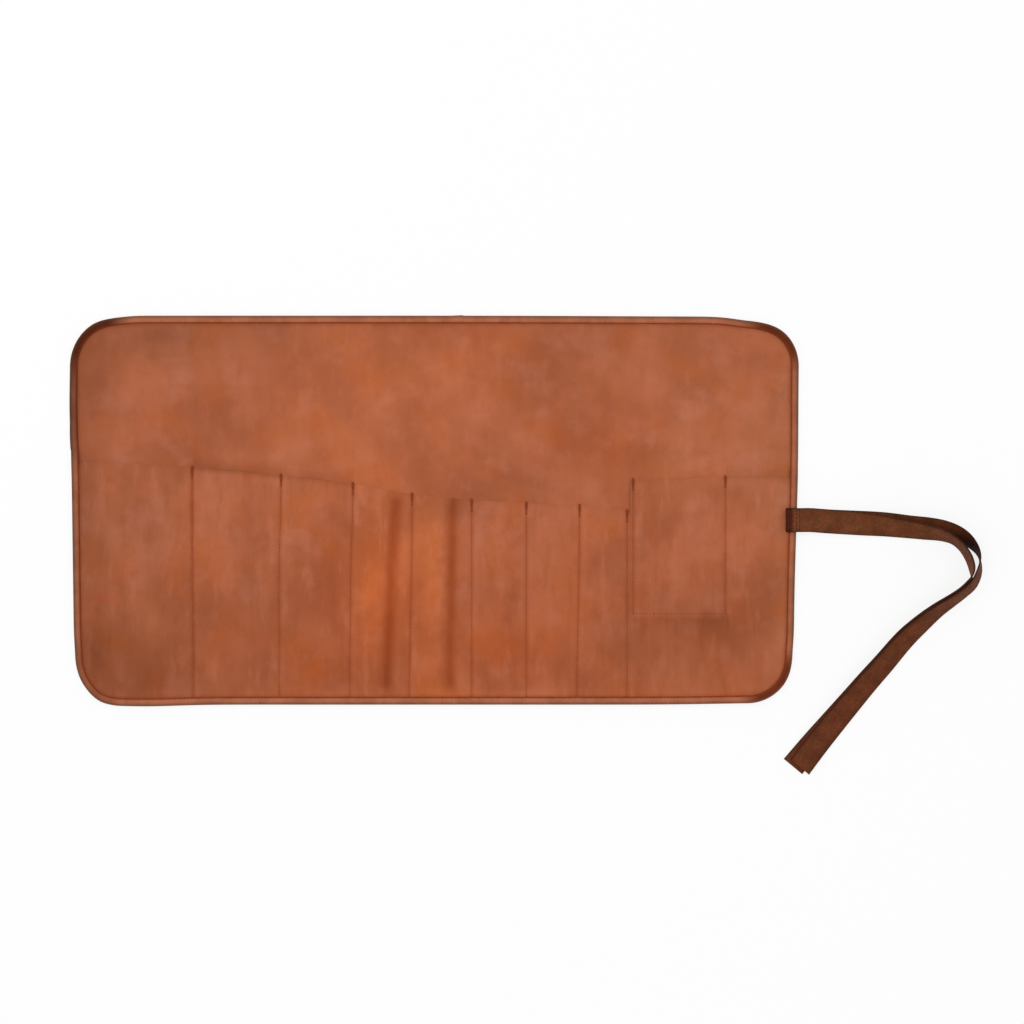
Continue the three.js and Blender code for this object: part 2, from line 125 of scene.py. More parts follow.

# Stains and rubbed places of the hide, with one patch of painted light at the right-hand end:
# middle across and up, half width, half height, tint
STAINS_AND_PAINTED_LIGHT = [
    (-0.267, 0.173, 0.030, 0.009, (0.86, 0.83, 0.80)),
    (-0.245, 0.175, 0.090, 0.038, (0.81, 0.84, 0.84)),
    (-0.327, 0.105, 0.013, 0.034, (0.90, 0.89, 0.86)),
    (-0.154, 0.140, 0.028, 0.022, (0.96, 0.91, 0.92)),
    (-0.094, 0.134, 0.036, 0.036, (1.10, 1.11, 1.14)),
    (-0.089, 0.055, 0.034, 0.022, (1.02, 0.96, 0.79)),
    (-0.006, 0.172, 0.030, 0.020, (0.87, 0.82, 0.76)),
    (-0.030, 0.125, 0.120, 0.075, (1.13, 1.11, 1.03)),
    (0.040, 0.165, 0.020, 0.030, (1.12, 1.08, 1.00)),
    (0.170, 0.064, 0.042, 0.026, (1.03, 0.94, 0.80)),
    (0.170, 0.150, 0.040, 0.040, (0.92, 0.92, 0.90)),
    (0.252, 0.110, 0.032, 0.080, (1.07, 1.12, 1.15)),
    (0.318, 0.060, 0.036, 0.062, (1.03, 1.11, 1.16)),
    (0.244, 0.040, 0.045, 0.040, (1.08, 1.12, 1.09)),
    (-0.352, 0.000, 0.028, 0.300, (0.84, 0.85, 0.85)),
    # painted light: lifts the end pocket's right-hand flank, which its swell turns away from the lamp
    (0.350, 0.000, 0.014, 0.160, (1.06, 1.16, 1.19)),
    (-0.300, -0.010, 0.060, 0.048, (0.90, 0.93, 0.93)),
    (-0.310, -0.129, 0.054, 0.058, (0.82, 0.84, 0.82)),
    (-0.336, -0.144, 0.018, 0.042, (0.80, 0.72, 0.58)),
    (-0.334, -0.088, 0.022, 0.006, (1.02, 0.88, 0.86)),
    (-0.275, -0.178, 0.090, 0.030, (0.84, 0.82, 0.80)),
    (-0.206, -0.048, 0.008, 0.070, (1.05, 1.08, 1.10)),
    (-0.184, -0.073, 0.024, 0.062, (0.86, 0.86, 0.87)),
    (-0.144, -0.010, 0.028, 0.066, (1.12, 1.16, 1.18)),
    (-0.099, -0.075, 0.018, 0.080, (0.98, 0.90, 0.82)),
    (-0.116, -0.158, 0.020, 0.018, (0.95, 0.84, 0.64)),
    (-0.064, -0.070, 0.013, 0.085, (1.06, 1.00, 0.80)),
    (-0.045, -0.074, 0.039, 0.082, (1.32, 1.19, 0.96)),
    (-0.004, -0.070, 0.014, 0.090, (1.12, 1.06, 0.82)),
    (0.075, -0.140, 0.066, 0.046, (1.05, 0.96, 0.86)),
    (0.260, -0.130, 0.090, 0.052, (0.83, 0.82, 0.78)),
    (0.000, -0.140, 0.400, 0.100, (0.97, 0.91, 0.83)),
    (0.000, -0.185, 0.360, 0.007, (1.13, 1.13, 1.06)),
]


def stations(step, marks):
    """Places from the first mark to the last, no further apart than step, with every mark among them."""
    places = []
    for a, b in zip(marks, marks[1:]):
        count = max(1, math.ceil((b - a) / step - TINY))
        places += [a + (b - a) * i / count for i in range(count)]
    return np.array(places + [marks[-1]])


def columns(fold):
    """Places across one fold's piece, closer together beside the fold and round a corner."""
    middle = fold_x[fold]
    beside = [middle + SEAM_STEP * n for n in range(-SEAM_COLUMNS, SEAM_COLUMNS + 1)]
    first = sheet_left + CORNER_RADIUS if fold == 0 else cuts[fold]
    last = sheet_right - CORNER_RADIUS if fold == LAST_FOLD else cuts[fold + 1]
    places = stations(GRID_STEP, [first] + beside + [last])
    turn = np.linspace(0, math.pi / 2, CORNER_COLUMNS)[:-1]
    corner = PANEL_INSET + (CORNER_RADIUS - PANEL_INSET) * (1 - np.cos(turn))
    if fold == 0:
        places = np.concatenate([sheet_left + corner, places])
    if fold == LAST_FOLD:
        places = np.concatenate([places, sheet_right - corner[::-1]])
    return places


def edge_inset(x, inset):
    """How far in from the straight upper or lower edge the sheet ends at x, with its round corners."""
    past = np.maximum(np.maximum(sheet_left + CORNER_RADIUS - x, x - sheet_right + CORNER_RADIUS), 0)
    radius = CORNER_RADIUS - inset
    return CORNER_RADIUS - np.sqrt(np.maximum(radius**2 - past**2, 0))


def edge_distance(x, y):
    """Distance in from the sheet's edge, all round."""
    across = np.abs(x) - (sheet_right - CORNER_RADIUS)
    up = np.abs(y) - (sheet_top - CORNER_RADIUS)
    outside = np.hypot(np.maximum(across, 0), np.maximum(up, 0))
    return CORNER_RADIUS - outside - np.minimum(np.maximum(across, up), 0)


def ramp(value, start, end):
    """0 up to the start and 1 from the end on, with an even change between them."""
    return np.clip((value - start) / (end - start), 0, 1)


def bell(value, half):
    """1 at 0, falling softly to nothing on both sides."""
    return np.exp(-((value / half) ** 2))


def patch(x, y, middle_x, middle_y, half_x, half_y):
    """1 at the middle of a soft round patch, falling to 0 around it."""
    return bell(x - middle_x, half_x) * bell(y - middle_y, half_y)


def laid(x, y):
    """Places on the table of flat places on the sheet, whose sides lean in and whose sewing pulls it."""
    down = ramp(y, sheet_top - CORNER_RADIUS, sheet_bottom + CORNER_RADIUS)
    inward = ramp(x, fold_x[0], sheet_left) - ramp(x, fold_x[-1], sheet_right)
    across, up = x + SIDE_LEAN * down * inward, y
    for *place, move_x, move_y in PULLS:
        weight = patch(x, y, *place)
        across = across + weight * move_x
        up = up + weight * move_y
    return across, up


def tinted(tint, weight, colour):
    """A tint multiplied by another where its weight is 1, and unchanged where it is 0."""
    return tint * (1 + weight[..., None] * (np.array(colour) - 1))


def mouth_shade(x, y):
    """What the leather keeps of its red, green and blue under the painted shadow at the pocket mouths."""
    above = y - mouth_height(x)
    reach = np.where(above > 0, MOUTH_SHADE_ABOVE, MOUTH_SHADE_BELOW)
    dark = np.array(MOUTH_SHADE)[np.searchsorted(seam_x, x)] * bell(above, reach)
    return 1 - dark[..., None] * np.array(MOUTH_SHADE_TINT)


def stains_and_painted_shade(x, y):
    """Tint of the hide at flat places: its stains with a patch of painted light, painted shadow at the
    pocket mouths, its darker edge, and painted shade in the groove inside the binding.
    """
    tint = np.ones(x.shape + (3,))
    for *place, colour in STAINS_AND_PAINTED_LIGHT:
        tint = tinted(tint, patch(x, y, *place), colour)
    inside = edge_distance(x, y)
    rim = np.exp(-np.maximum(inside - BINDING_WIDTH, 0) / EDGE_SHADE_WIDTH)
    tint = tint * mouth_shade(x, y) * (1 - EDGE_SHADE * rim)[..., None]
    # painted shade in the groove along the binding's inner edge
    return tinted(tint, bell(inside - GROOVE_PLACE, GROOVE_WIDTH), GROOVE_SHADE_TINT)


def placed(name, data):
    """New object in the scene."""
    made = bpy.data.objects.new(name, data)
    bpy.context.scene.collection.objects.link(made)
    return made


def flat_map(mesh, flat):
    """Gives a mesh its UV map, in metres on the flat leather, from a flat place for every point."""
    layer = mesh.uv_layers.new(name="flat")
    corners = np.zeros(len(mesh.loops), int)
    mesh.loops.foreach_get("vertex_index", corners)
    layer.data.foreach_set("uv", flat[corners].ravel())


def finished_mesh(name, points, faces, flat, tint, sharp=50):
    """Object from points and faces, with a flat UV map and a tint at every point."""
    mesh = bpy.data.meshes.new(name)
    mesh.from_pydata(points.tolist(), [], faces)
    flat_map(mesh, flat)
    colour = mesh.attributes.new("tint", "FLOAT_COLOR", "POINT")
    colour.data.foreach_set("color", np.column_stack([tint, np.ones(len(tint))]).ravel())
    mesh.shade_smooth()
    mesh.set_sharp_from_angle(angle=math.radians(sharp))
    return placed(name, mesh)


def sheet_grid(line, low, high, shares):
    """Grid of flat places on columns, each from low to high by shares of its height."""
    y = low[:, None] + (high - low)[:, None] * shares
    return np.broadcast_to(line[:, None], y.shape), y


def leather_sheet(name, x, y, under, top, tint):
    """Closed sheet of leather over a grid of flat places, with its thickness between under and top."""
    wide, high = x.shape
    upper = np.arange(wide * high).reshape(wide, high)
    lower = upper + wide * high
    quads = [np.stack([upper[:-1, :-1], upper[1:, :-1], upper[1:, 1:], upper[:-1, 1:]], -1)]
    quads.append(np.stack([lower[:-1, :-1], lower[:-1, 1:], lower[1:, 1:], lower[1:, :-1]], -1))
    rim = np.concatenate([upper[:-1, 0], upper[-1, :-1], upper[:0:-1, -1], upper[0, :0:-1]])
    next_on_rim = np.roll(rim, -1)
    quads.append(np.stack([rim + wide * high, next_on_rim + wide * high, next_on_rim, rim], -1))
    faces = np.concatenate([q.reshape(-1, 4) for q in quads]).tolist()
    across, up = laid(x, y)
    points = np.concatenate([np.stack([across, up, z], -1).reshape(-1, 3) for z in (top, under)])
    flat = np.tile(np.stack([x, y], -1).reshape(-1, 2), (2, 1))
    return finished_mesh(name, points, faces, flat, np.tile(tint.reshape(-1, 3), (2, 1)))


def flat_area(x, y):
    """Area of a grid of flat places."""
    width = (x[1:, 1:] - x[:-1, 1:] + x[1:, :-1] - x[:-1, :-1]) / 2
    height = (y[1:, 1:] - y[1:, :-1] + y[:-1, 1:] - y[:-1, :-1]) / 2
    return float((width * height).sum())


def bend_over(piece, fold):
    """Bakes the piece's placement into its points; the reach beside the fold is worked out but unused."""
    x = fold_x[fold]
    reach = min(x - cuts[fold], cuts[fold + 1] - x)
    x - reach
    x + reach
    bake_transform(piece)


def srgb(red, green, blue):
    """Colour given as 0 to 255 on a screen, as the renderer's linear colour."""
    linear = []
    for value in (red / 255, green / 255, blue / 255):
        linear.append(value / 12.92 if value <= 0.04045 else ((value + 0.055) / 1.055) ** 2.4)
    return (*linear, 1.0)


class Shade:
    """A socket among a tree's nodes, so that its maths is written as sums and products."""

    def __init__(self, tree, socket=None):
        self.tree = tree
        self.socket = socket

    def node(self, kind, settings=None, sockets=None, output=0):
        made = self.tree.nodes.new(kind)
        for name, value in (settings or {}).items():
            setattr(made, name, value)
        for name, value in (sockets or {}).items():
            target = next((s for s in made.inputs if s.identifier == name), None) or made.inputs[name]
            if isinstance(value, Shade):
                self.tree.links.new(value.socket, target)
            else:
                target.default_value = value
        return Shade(self.tree, made.outputs[output] if len(made.outputs) else None)

    def math(self, operation, a, b):
        return self.node("ShaderNodeMath", {"operation": operation}, {"Value": a, "Value_001": b})

    def __add__(self, other):
        return self.math("ADD", self, other)

    __radd__ = __add__

    def __rsub__(self, other):
        return self.math("SUBTRACT", other, self)

    def __mul__(self, other):
        return self.math("MULTIPLY", self, other)

    def vector(self, operation, other):
        sockets = {"Vector": self, "Vector_001": other}
        return self.node("ShaderNodeVectorMath", {"operation": operation}, sockets)

    def attribute(self, name, output=0):
        return self.node("ShaderNodeAttribute", {"attribute_name": name}, output=output)

    def cloud(self, scale, detail=3.0):
        """Soft random field over these places, with patches of about 1 / scale metres."""
        sockets = {"Vector": self, "Scale": scale, "Detail": detail, "Roughness": 0.55}
        return self.node("ShaderNodeTexNoise", {"noise_dimensions": "3D"}, sockets)

    def stepped(self, low, high):
        """0 where this value is below low, 1 above high, with a smooth change between."""
        sockets = {"Value": self, "From Min": low, "From Max": high}
        return self.node("ShaderNodeMapRange", {"interpolation_type": "SMOOTHSTEP"}, sockets)

    def between(self, first, second):
        """The first colour where this value is 0 and the second where it is 1."""
        sockets = {"Factor_Float": self, "A_Color": first, "B_Color": second}
        return self.node("ShaderNodeMix", {"data_type": "RGBA"}, sockets, output=2)

    def layered(self, *layers):
        """This colour under others, each laid over it by its share."""
        colour = self
        for share, over in layers:
            colour = share.between(colour, srgb(*over))
        return colour

    def surface(self, roughness, shine, height=None, strength=0.0, distance=0.0):
        """Ends the material with a surface of this colour, with a bump where a height is given."""
        sockets = {"Base Color": self, "Roughness": roughness, "Specular IOR Level": shine}
        if height is not None:
            bump = {"Height": height, "Strength": strength, "Distance": distance}
            sockets["Normal"] = self.node("ShaderNodeBump", sockets=bump)
        principled = self.node("ShaderNodeBsdfPrincipled", sockets=sockets)
        self.node("ShaderNodeOutputMaterial", sockets={"Surface": principled})


def new_material(name):
    """Empty node material and the start of its maths."""
    material = bpy.data.materials.new(name)
    material.use_nodes = True
    material.node_tree.nodes.clear()
    return material, Shade(material.node_tree)


def flat_material(name):
    """Empty material and the flat places on the leather that it is laid out on."""
    material, shade = new_material(name)
    return material, shade.node("ShaderNodeUVMap", {"uv_map": "flat"})


def tan_leather(name, offset, drawn):
    """Waxed tan hide: cloudy browns, oranges and pinks, small pores, a dull sheen. offset picks its part,
    and drawn is how strongly it is streaked up and down by what slides over it."""
    material, flat = flat_material(name)
    place = flat.vector("ADD", offset)
    turned = {"Vector": place, "Rotation": (0.0, 0.0, 0.9), "Scale": (9.0, 1.0, 1.0)}
    scuff = place.node("ShaderNodeMapping", {"vector_type": "TEXTURE"}, turned).cloud(260)
    streaks = place.vector("MULTIPLY", (1.0, 0.26, 1.0)).cloud(85)
    pink = place.cloud(33, 4).stepped(0.48, 0.74)
    smudge = place.cloud(75, 4)
    pores = place.cloud(900, 2)
    colour = place.cloud(11).stepped(0.32, 0.68).between(srgb(157, 84, 52), srgb(180, 101, 67))
    colour = colour.layered(
        (place.cloud(19).stepped(0.46, 0.70) * 0.46, (178, 89, 37)),
        (pink * 0.40, (184, 111, 86)),
        (smudge.stepped(0.50, 0.72) * 0.16, (146, 76, 45)),
        (streaks.stepped(0.50, 0.72) * drawn, (148, 78, 44)),
        ((1 - streaks.stepped(0.28, 0.48)) * drawn, (190, 114, 84)),
        (scuff.stepped(0.62, 0.76) * 0.12, (196, 122, 92)),
    )
    colour = colour.vector("MULTIPLY", flat.attribute("tint"))
    colour = colour.layered((pores.stepped(0.58, 0.75) * 0.20, (120, 60, 34)))
    cells = {"Vector": place, "Scale": 620, "Randomness": 1.0}
    grain = place.node("ShaderNodeTexVoronoi", {"feature": "DISTANCE_TO_EDGE"}, cells)
    height = grain.stepped(0.0, 0.16) * 0.55 + pores * 0.6 + smudge * 0.8
    colour.surface(0.68 - pink * 0.08 + pores * 0.08, 0.16, height, 0.16, 0.0006)
    return material


def mouth_height(x):
    """Height of the pocket mouths at x: the knife pockets' falls to the right, the others' is higher."""
    knife = np.interp(x, MOUTH_X, MOUTH_Y)
    tool = np.interp(x, (tool_left, fold_x[-1], sheet_right), (TOOL_MOUTH, END_MOUTH, END_MOUTH))
    return sheet_bottom + np.where(x < tool_left, knife, tool)


# Mouth of each knife pocket above the lower edge, at the sheet's left edge and at each seam
MOUTH_Y = (0.244, 0.2375, 0.2295, 0.221, 0.2105, 0.2045, 0.2015, 0.199, 0.1935)
TOOL_MOUTH = 0.225
END_MOUTH = 0.228
SEAM_FOLD_LIMIT = 0.008  # a fold along a seam turns nearer the leather than one along a pocket's middle
# Painted shadow at each pocket's mouth: how much darker the leather is, most where the lip stands off the
# back
MOUTH_SHADE = (0.02, 0.23, 0.14, 0.04, 0.02, 0.02, 0.02, 0.02, 0.02, 0.12)
MOUTH_SHADE_ABOVE = 0.0100
MOUTH_SHADE_BELOW = 0.0040
MOUTH_SHADE_TINT = (1.0, 1.25, 1.6)  # share of it in red, green and blue

seam_x = [joint["pos_m"][0] for joint in folds if joint["pos_m"][2] < SEAM_FOLD_LIMIT]
tool_left = seam_x[-2]
MOUTH_X = [sheet_left] + seam_x[:-1]

back_leather = tan_leather("back leather", (0.0, 0.0, 0.0), 0.16)
for fold in range(len(folds)):
    line = columns(fold)
    low = sheet_bottom + edge_inset(line, PANEL_INSET)
    x, y = sheet_grid(line, low, -low, np.linspace(0, 1, BACK_ROWS))
    inside = edge_distance(x, y) - BINDING_WIDTH
    slack = ramp(y - mouth_height(x), 0, WAVE_FADE) * ramp(inside, 0, WAVE_FADE)
    # waves of about 0.18 m, with shorter ones of about 0.07 m askew over them
    wave = np.sin(38 * x + 1.3) * np.sin(31 * y + 0.6) + 0.6 * np.sin(71 * x - 47 * y + 2.1)
    top = back_top + BACK_WAVE * slack * wave
    under = np.full(x.shape, back_under)
    piece = leather_sheet(f"back_leather_{fold + 1:02d}", x, y, under, top, stains_and_painted_shade(x, y))
    piece.data.materials.append(back_leather)
    bend_over(piece, fold)
    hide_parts(f"back_panel_{fold + 1:02d}", f"back_panel_{fold + 2:02d}")
    flat_area(x, y)


# Pocket fronts
# Two sheets of the same hide, 1.6 mm thick: a long one for the eight knife pockets and a short, higher
# one for the tool pocket and the end pocket. They are sewn down along every seam and swell between them.
FRONT_THICKNESS = 0.0016
FRONT_ROWS = 104
POCKET_SWELL = 0.0038
SWELL_SHAPE = 1.6  # above 1, a front stays flat for longer beside its seams
POCKET_RISE = 0.045  # length over which a front lifts off the back above its bottom seam
LIP_SETTLE = 0.040  # length over which a mouth's lip settles back towards the back
LIP_SHARE = (0.02, 0.14, 0.10, 0.03, 0.0, 0.0, 0.0, 0.0, 0.03, 0.05)  # swell kept at each mouth
SEAM_FLAT = 0.003
BOUND_FLAT = 0.011  # flat leather beside and under the binding
TOOL_FLOOR = 0.091  # bottom seam of the tool pocket above the lower edge
KNIFE_SEAM_SHIFT = -0.0032  # seams of the two sheets, either side of where they meet
TOOL_SEAM_SHIFT = 0.0028
SHEET_GAP = 0.00004
TOOL_SHADE = (0.86, 0.78, 0.70)  # the leather dips below the tool pocket
TOOL_SHADE_START = 0.006
TOOL_SHADE_FADE = 0.012
TOOL_SHADE_PAST = 0.004  # and reaches this far past its right-hand seam
SEAM_PULL = 0.0002  # how far the thread draws the leather in
SEAM_PULL_WIDTH = 0.0016
SEAM_SHADE_WIDTH = 0.0022
SEAM_LATER = 0.62  # the seams beyond the first are less worn in
SEAM_TINT = (0.78, 0.63, 0.50)
SEAM_HIGHLIGHT = (1.04, 1.05, 1.06)  # painted highlight just right of a seam, on the flank that faces the light
SEAM_HIGHLIGHT_SHIFT = 0.0042
SEAM_FADE = 0.13  # the seams are darkest at the mouths and fade downwards
SEAM_LEAST = 0.55  # to this share
# Skived edge of a mouth: share of the height, thickness taken off
MOUTH_SKIVE = ((0.964, 0.0), (0.978, 0.00024), (0.988, 0.00064), (0.995, 0.00110), (1.0, 0.00154))

# Creases where a blade has lain: across at the mouth, across at the lower edge, half width, depth, tint.
# A valley's tint is partly its own darker colour and partly painted shade; a ridge's is painted highlight
CREASES = [
    (-0.0382, -0.0478, 0.0062, 0.0013, (0.74, 0.55, 0.34)),
    (0.0182, 0.0152, 0.0058, 0.0013, (0.72, 0.54, 0.31)),
    (0.0070, 0.0040, 0.0045, -0.0004, (1.04, 1.07, 1.09)),
    (-0.0275, -0.0350, 0.0045, -0.0005, (1.06, 1.07, 1.07)),
]
CREASE_TOP = 0.022
CREASE_LIP = 0.014  # the mouths stay straight over the creases
CREASE_FADE = 0.014


def seam_lines():
    """Every upright seam as its place across, with the height of its lower end above the lower edge."""
    lines = [(x, 0.0) for x in seam_x if x != tool_left]
    lines.append((tool_left + KNIFE_SEAM_SHIFT, 0.0))
    lines.append((tool_left + TOOL_SEAM_SHIFT, TOOL_FLOOR))
    return [(x, TOOL_FLOOR if x == seam_x[-1] else floor) for x, floor in lines]


def pocket_floor(x):
    """Height at which a front starts to lift off the back."""
    flat = sheet_bottom + edge_inset(x, BOUND_FLAT)
    in_tool = (x > tool_left) & (x < seam_x[-1])
    return np.where(in_tool, sheet_bottom + TOOL_FLOOR, flat)


def pocket_at(x):
    """Number of the pocket at x, and 0 to 1 across it between the flat leather along its two seams."""
    edges = np.array([sheet_left] + seam_x + [sheet_right])
    last = len(edges) - 2
    pocket = np.clip(np.searchsorted(edges, x, side="right") - 1, 0, last)
    left = edges[pocket] + np.where(pocket == 0, BOUND_FLAT, SEAM_FLAT)
    right = edges[pocket + 1] - np.where(pocket == last, BOUND_FLAT, SEAM_FLAT)
    return pocket, ramp(x, left, right)


def creased(x, y):
    """Weight of each crease at flat places, with its depth and tint, partly painted shade and highlight."""
    hem = sheet_bottom + BINDING_WIDTH
    fade = ramp(y, CREASE_TOP, CREASE_TOP - CREASE_FADE) * ramp(y, hem, hem + CREASE_FADE)
    for upper, lower, half, depth, tint in CREASES:
        middle = upper + (lower - upper) * ramp(y, CREASE_TOP, sheet_bottom)
        yield bell(x - middle, half) * fade, depth, tint


def eased(share):
    """A share that leaves 0 and comes to 1 gently."""
    return share**2 * (3 - 2 * share)


def front_top(x, y):
    """Height of a front's outer face at flat places."""
    pocket, across = pocket_at(x)
    floor, mouth = pocket_floor(x), mouth_height(x)
    rise = np.sin(math.pi / 2 * ramp(y, floor, floor + POCKET_RISE))
    settled = 1 - (1 - np.array(LIP_SHARE)[pocket]) * eased(ramp(y, mouth - LIP_SETTLE, mouth))
    swell = POCKET_SWELL * np.sin(math.pi * across) ** SWELL_SHAPE
    top = back_top + FRONT_THICKNESS + swell * rise * settled
    for weight, depth, _ in creased(x, y):
        top = top - depth * weight * ramp(y, mouth, mouth - CREASE_LIP)
    for seam, start in seam_lines():
        along = y > sheet_bottom + start
        top = top - SEAM_PULL * along * bell(x - seam, SEAM_PULL_WIDTH)
    return top


def front_tint(x, y):
    """Tint of a front: the hide's stains and painted shading, its seams with a painted highlight beside
    them, its creases with painted shade and highlight, and the shade under the tool pocket.
    """
    tint = stains_and_painted_shade(x, y)
    # painted shade in the creases' valleys and painted highlight on the ridges beside them
    for weight, _, colour in creased(x, y):
        tint = tinted(tint, weight, colour)
    below = np.maximum(mouth_height(x) - y, 0)
    depth = SEAM_LEAST + (1 - SEAM_LEAST) * np.exp(-below / SEAM_FADE)
    for seam, start in seam_lines():
        along = y > sheet_bottom + start
        worn = depth * (1 if seam == seam_x[0] else SEAM_LATER)
        tint = tinted(tint, along * worn * bell(x - seam, SEAM_SHADE_WIDTH), SEAM_TINT)
        # painted highlight on the leather just right of the seam
        tint = tinted(tint, along * bell(x - seam - SEAM_HIGHLIGHT_SHIFT, SEAM_SHADE_WIDTH), SEAM_HIGHLIGHT)
    above = y - sheet_bottom - TOOL_FLOOR
    in_tool = (x > tool_left + TOOL_SEAM_SHIFT) & (x < seam_x[-1] + TOOL_SHADE_PAST)
    beyond = np.maximum(-above - TOOL_SHADE_START, 0)
    shaded = ramp(-above, 0, TOOL_SHADE_START) * np.exp(-beyond / TOOL_SHADE_FADE)
    return tinted(tint, in_tool * shaded, TOOL_SHADE)


pocket_leather = tan_leather("pocket leather", (0.0, 0.0, 0.012), 0.34)
skive_share, skive_drop = zip(*MOUTH_SKIVE)
row_share = np.concatenate([np.linspace(0, skive_share[0], FRONT_ROWS)[:-1], skive_share])
row_drop = np.concatenate([np.zeros(FRONT_ROWS - 1), skive_drop])
front_nodes = {name[-2:]: name for name in frame["nodes"] if "pocket_front" in name}
for fold in range(len(folds)):
    everywhere = columns(fold)
    knife_line = np.minimum(everywhere[everywhere < tool_left + TINY], tool_left - SHEET_GAP)
    tool_line = np.maximum(everywhere[everywhere > tool_left - TINY], tool_left + SHEET_GAP)
    for side, line in (("knife", knife_line), ("tool", tool_line)):
        if len(line) < 2:
            continue
        hem = sheet_bottom + edge_inset(line, PANEL_INSET)
        x, y = sheet_grid(line, hem, mouth_height(line), row_share)
        top = front_top(x, y)
        name = f"{side}_pocket_leather_{fold + 1:02d}"
        piece = leather_sheet(name, x, y, top - FRONT_THICKNESS, top - row_drop, front_tint(x, y))
        piece.data.materials.append(pocket_leather)
        bend_over(piece, fold)
        labels = [f"{fold + 1:02d}", f"{fold + 2:02d}"]
        if abs(fold_x[fold] - tool_left) < TINY:
            labels = labels[:1] if side == "knife" else labels[1:]
        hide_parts(*[front_nodes[label] for label in labels])
        size = (line[-1] - line[0], (mouth_height(line) - hem).max())
        flat_area(x, y)


# Seams
# The fronts are sewn through to the back with red-brown waxed thread, in stitches of about 3 mm, and
# each upright seam ends at the mouth in a bar tack. The tool pocket has a seam along its bottom too.
STITCH_PITCH = 0.0032
STITCH_LENGTH = 0.0025
THREAD_WIDTH = 0.0007
TACK_LENGTH = 0.0115
TACK_OVER = 0.0012  # part of a bar tack that lies over the mouth's edge
TACK_END = 0.0004  # height of its upper end above the back
TACK_PITCH = 0.0007
TACK_WIDTH = 0.0029
SEAM_START = 0.0085  # the seams run out under the binding
SEAM_POINT_STEP = 0.006


def stitch_tree(thread, pitch, length, turn=0.0):
    """Nodes that lay a rounded stitch at every pitch along the given lines, turned from the line."""
    tree = bpy.data.node_groups.new("stitches", "GeometryNodeTree")
    for way in ("INPUT", "OUTPUT"):
        tree.interface.new_socket("Geometry", in_out=way, socket_type="NodeSocketGeometry")
    given = Shade(tree).node("NodeGroupInput")
    line = given.node("GeometryNodeMeshToCurve", sockets={"Mesh": given})
    line = line.node("GeometryNodeResampleCurve", {"mode": "LENGTH"}, {"Curve": line, "Length": pitch})
    tangent = line.node("GeometryNodeInputTangent")
    along = line.node("FunctionNodeAlignRotationToVector", {"axis": "X"}, {"Vector": tangent})
    turned = {"Rotation": along, "Rotate By": (0.0, 0.0, turn)}
    along = line.node("FunctionNodeRotateRotation", {"rotation_space": "LOCAL"}, turned)
    bead = line.node("GeometryNodeMeshUVSphere", sockets={"Segments": 6, "Rings": 4, "Radius": 0.5})
    bead = line.node("GeometryNodeSetShadeSmooth", sockets={"Geometry": bead})
    laid_down = {"Points": line, "Instance": bead, "Rotation": along}
    laid_down["Scale"] = (length, THREAD_WIDTH, THREAD_WIDTH)
    stitches = line.node("GeometryNodeInstanceOnPoints", sockets=laid_down)
    stitches = line.node("GeometryNodeRealizeInstances", sockets={"Geometry": stitches})
    stitches = line.node("GeometryNodeSetMaterial", sockets={"Geometry": stitches, "Material": thread})
    line.node("NodeGroupOutput", sockets={"Geometry": stitches})
    return tree


def on_sheet(x, y, z):
    """Points of a line over the sheet, from flat places and heights."""
    x, y, z = np.broadcast_arrays(x, y, z)
    return np.column_stack([*laid(x, y), z])


def through(x, y):
    """Lines of a seam over a front and under the back, at flat places."""
    x, y = np.broadcast_arrays(x, y)
    return [on_sheet(x, y, front_top(x, y)), on_sheet(x, y, back_under)]


def sewn(name, lines, stitches, fading=False):
    """Plain mesh of stitches along lines of points. Fading thread is worn more further below a mouth."""
    points, edges = [], []
    for line in lines:
        first = len(points)
        points += line.tolist()
        edges += [(first + i, first + i + 1) for i in range(len(line) - 1)]
    mesh = bpy.data.meshes.new(name)
    mesh.from_pydata(points, edges, [])
    piece = placed(name, mesh)
    piece.modifiers.new("stitches", "NODES").node_group = stitches
    graph = bpy.context.evaluated_depsgraph_get()
    made = bpy.data.meshes.new_from_object(piece.evaluated_get(graph), depsgraph=graph)
    piece.modifiers.clear()
    piece.data = made
    place = np.zeros(3 * len(made.vertices))
    made.vertices.foreach_get("co", place)
    place = place.reshape(-1, 3)
    flat_map(made, place[:, :2])
    depth = np.maximum(mouth_height(place[:, 0]) - place[:, 1], 0)
    worn = made.attributes.new("worn", "FLOAT", "POINT")
    worn.data.foreach_set("value", fading * (1 - np.exp(-depth / SEAM_FADE)))
    return piece


def thread_finish(name, dark, light, rubbed):
    """Waxed thread with a twist of two browns, paler where it is worn."""
    material, flat = flat_material(name)
    colour = flat.cloud(1500, 2).stepped(0.35, 0.65).between(srgb(*dark), srgb(*light))
    colour = colour.layered((flat.attribute("worn", output=2) * 0.7, rubbed))
    colour.surface(0.66, 0.06)
    return material


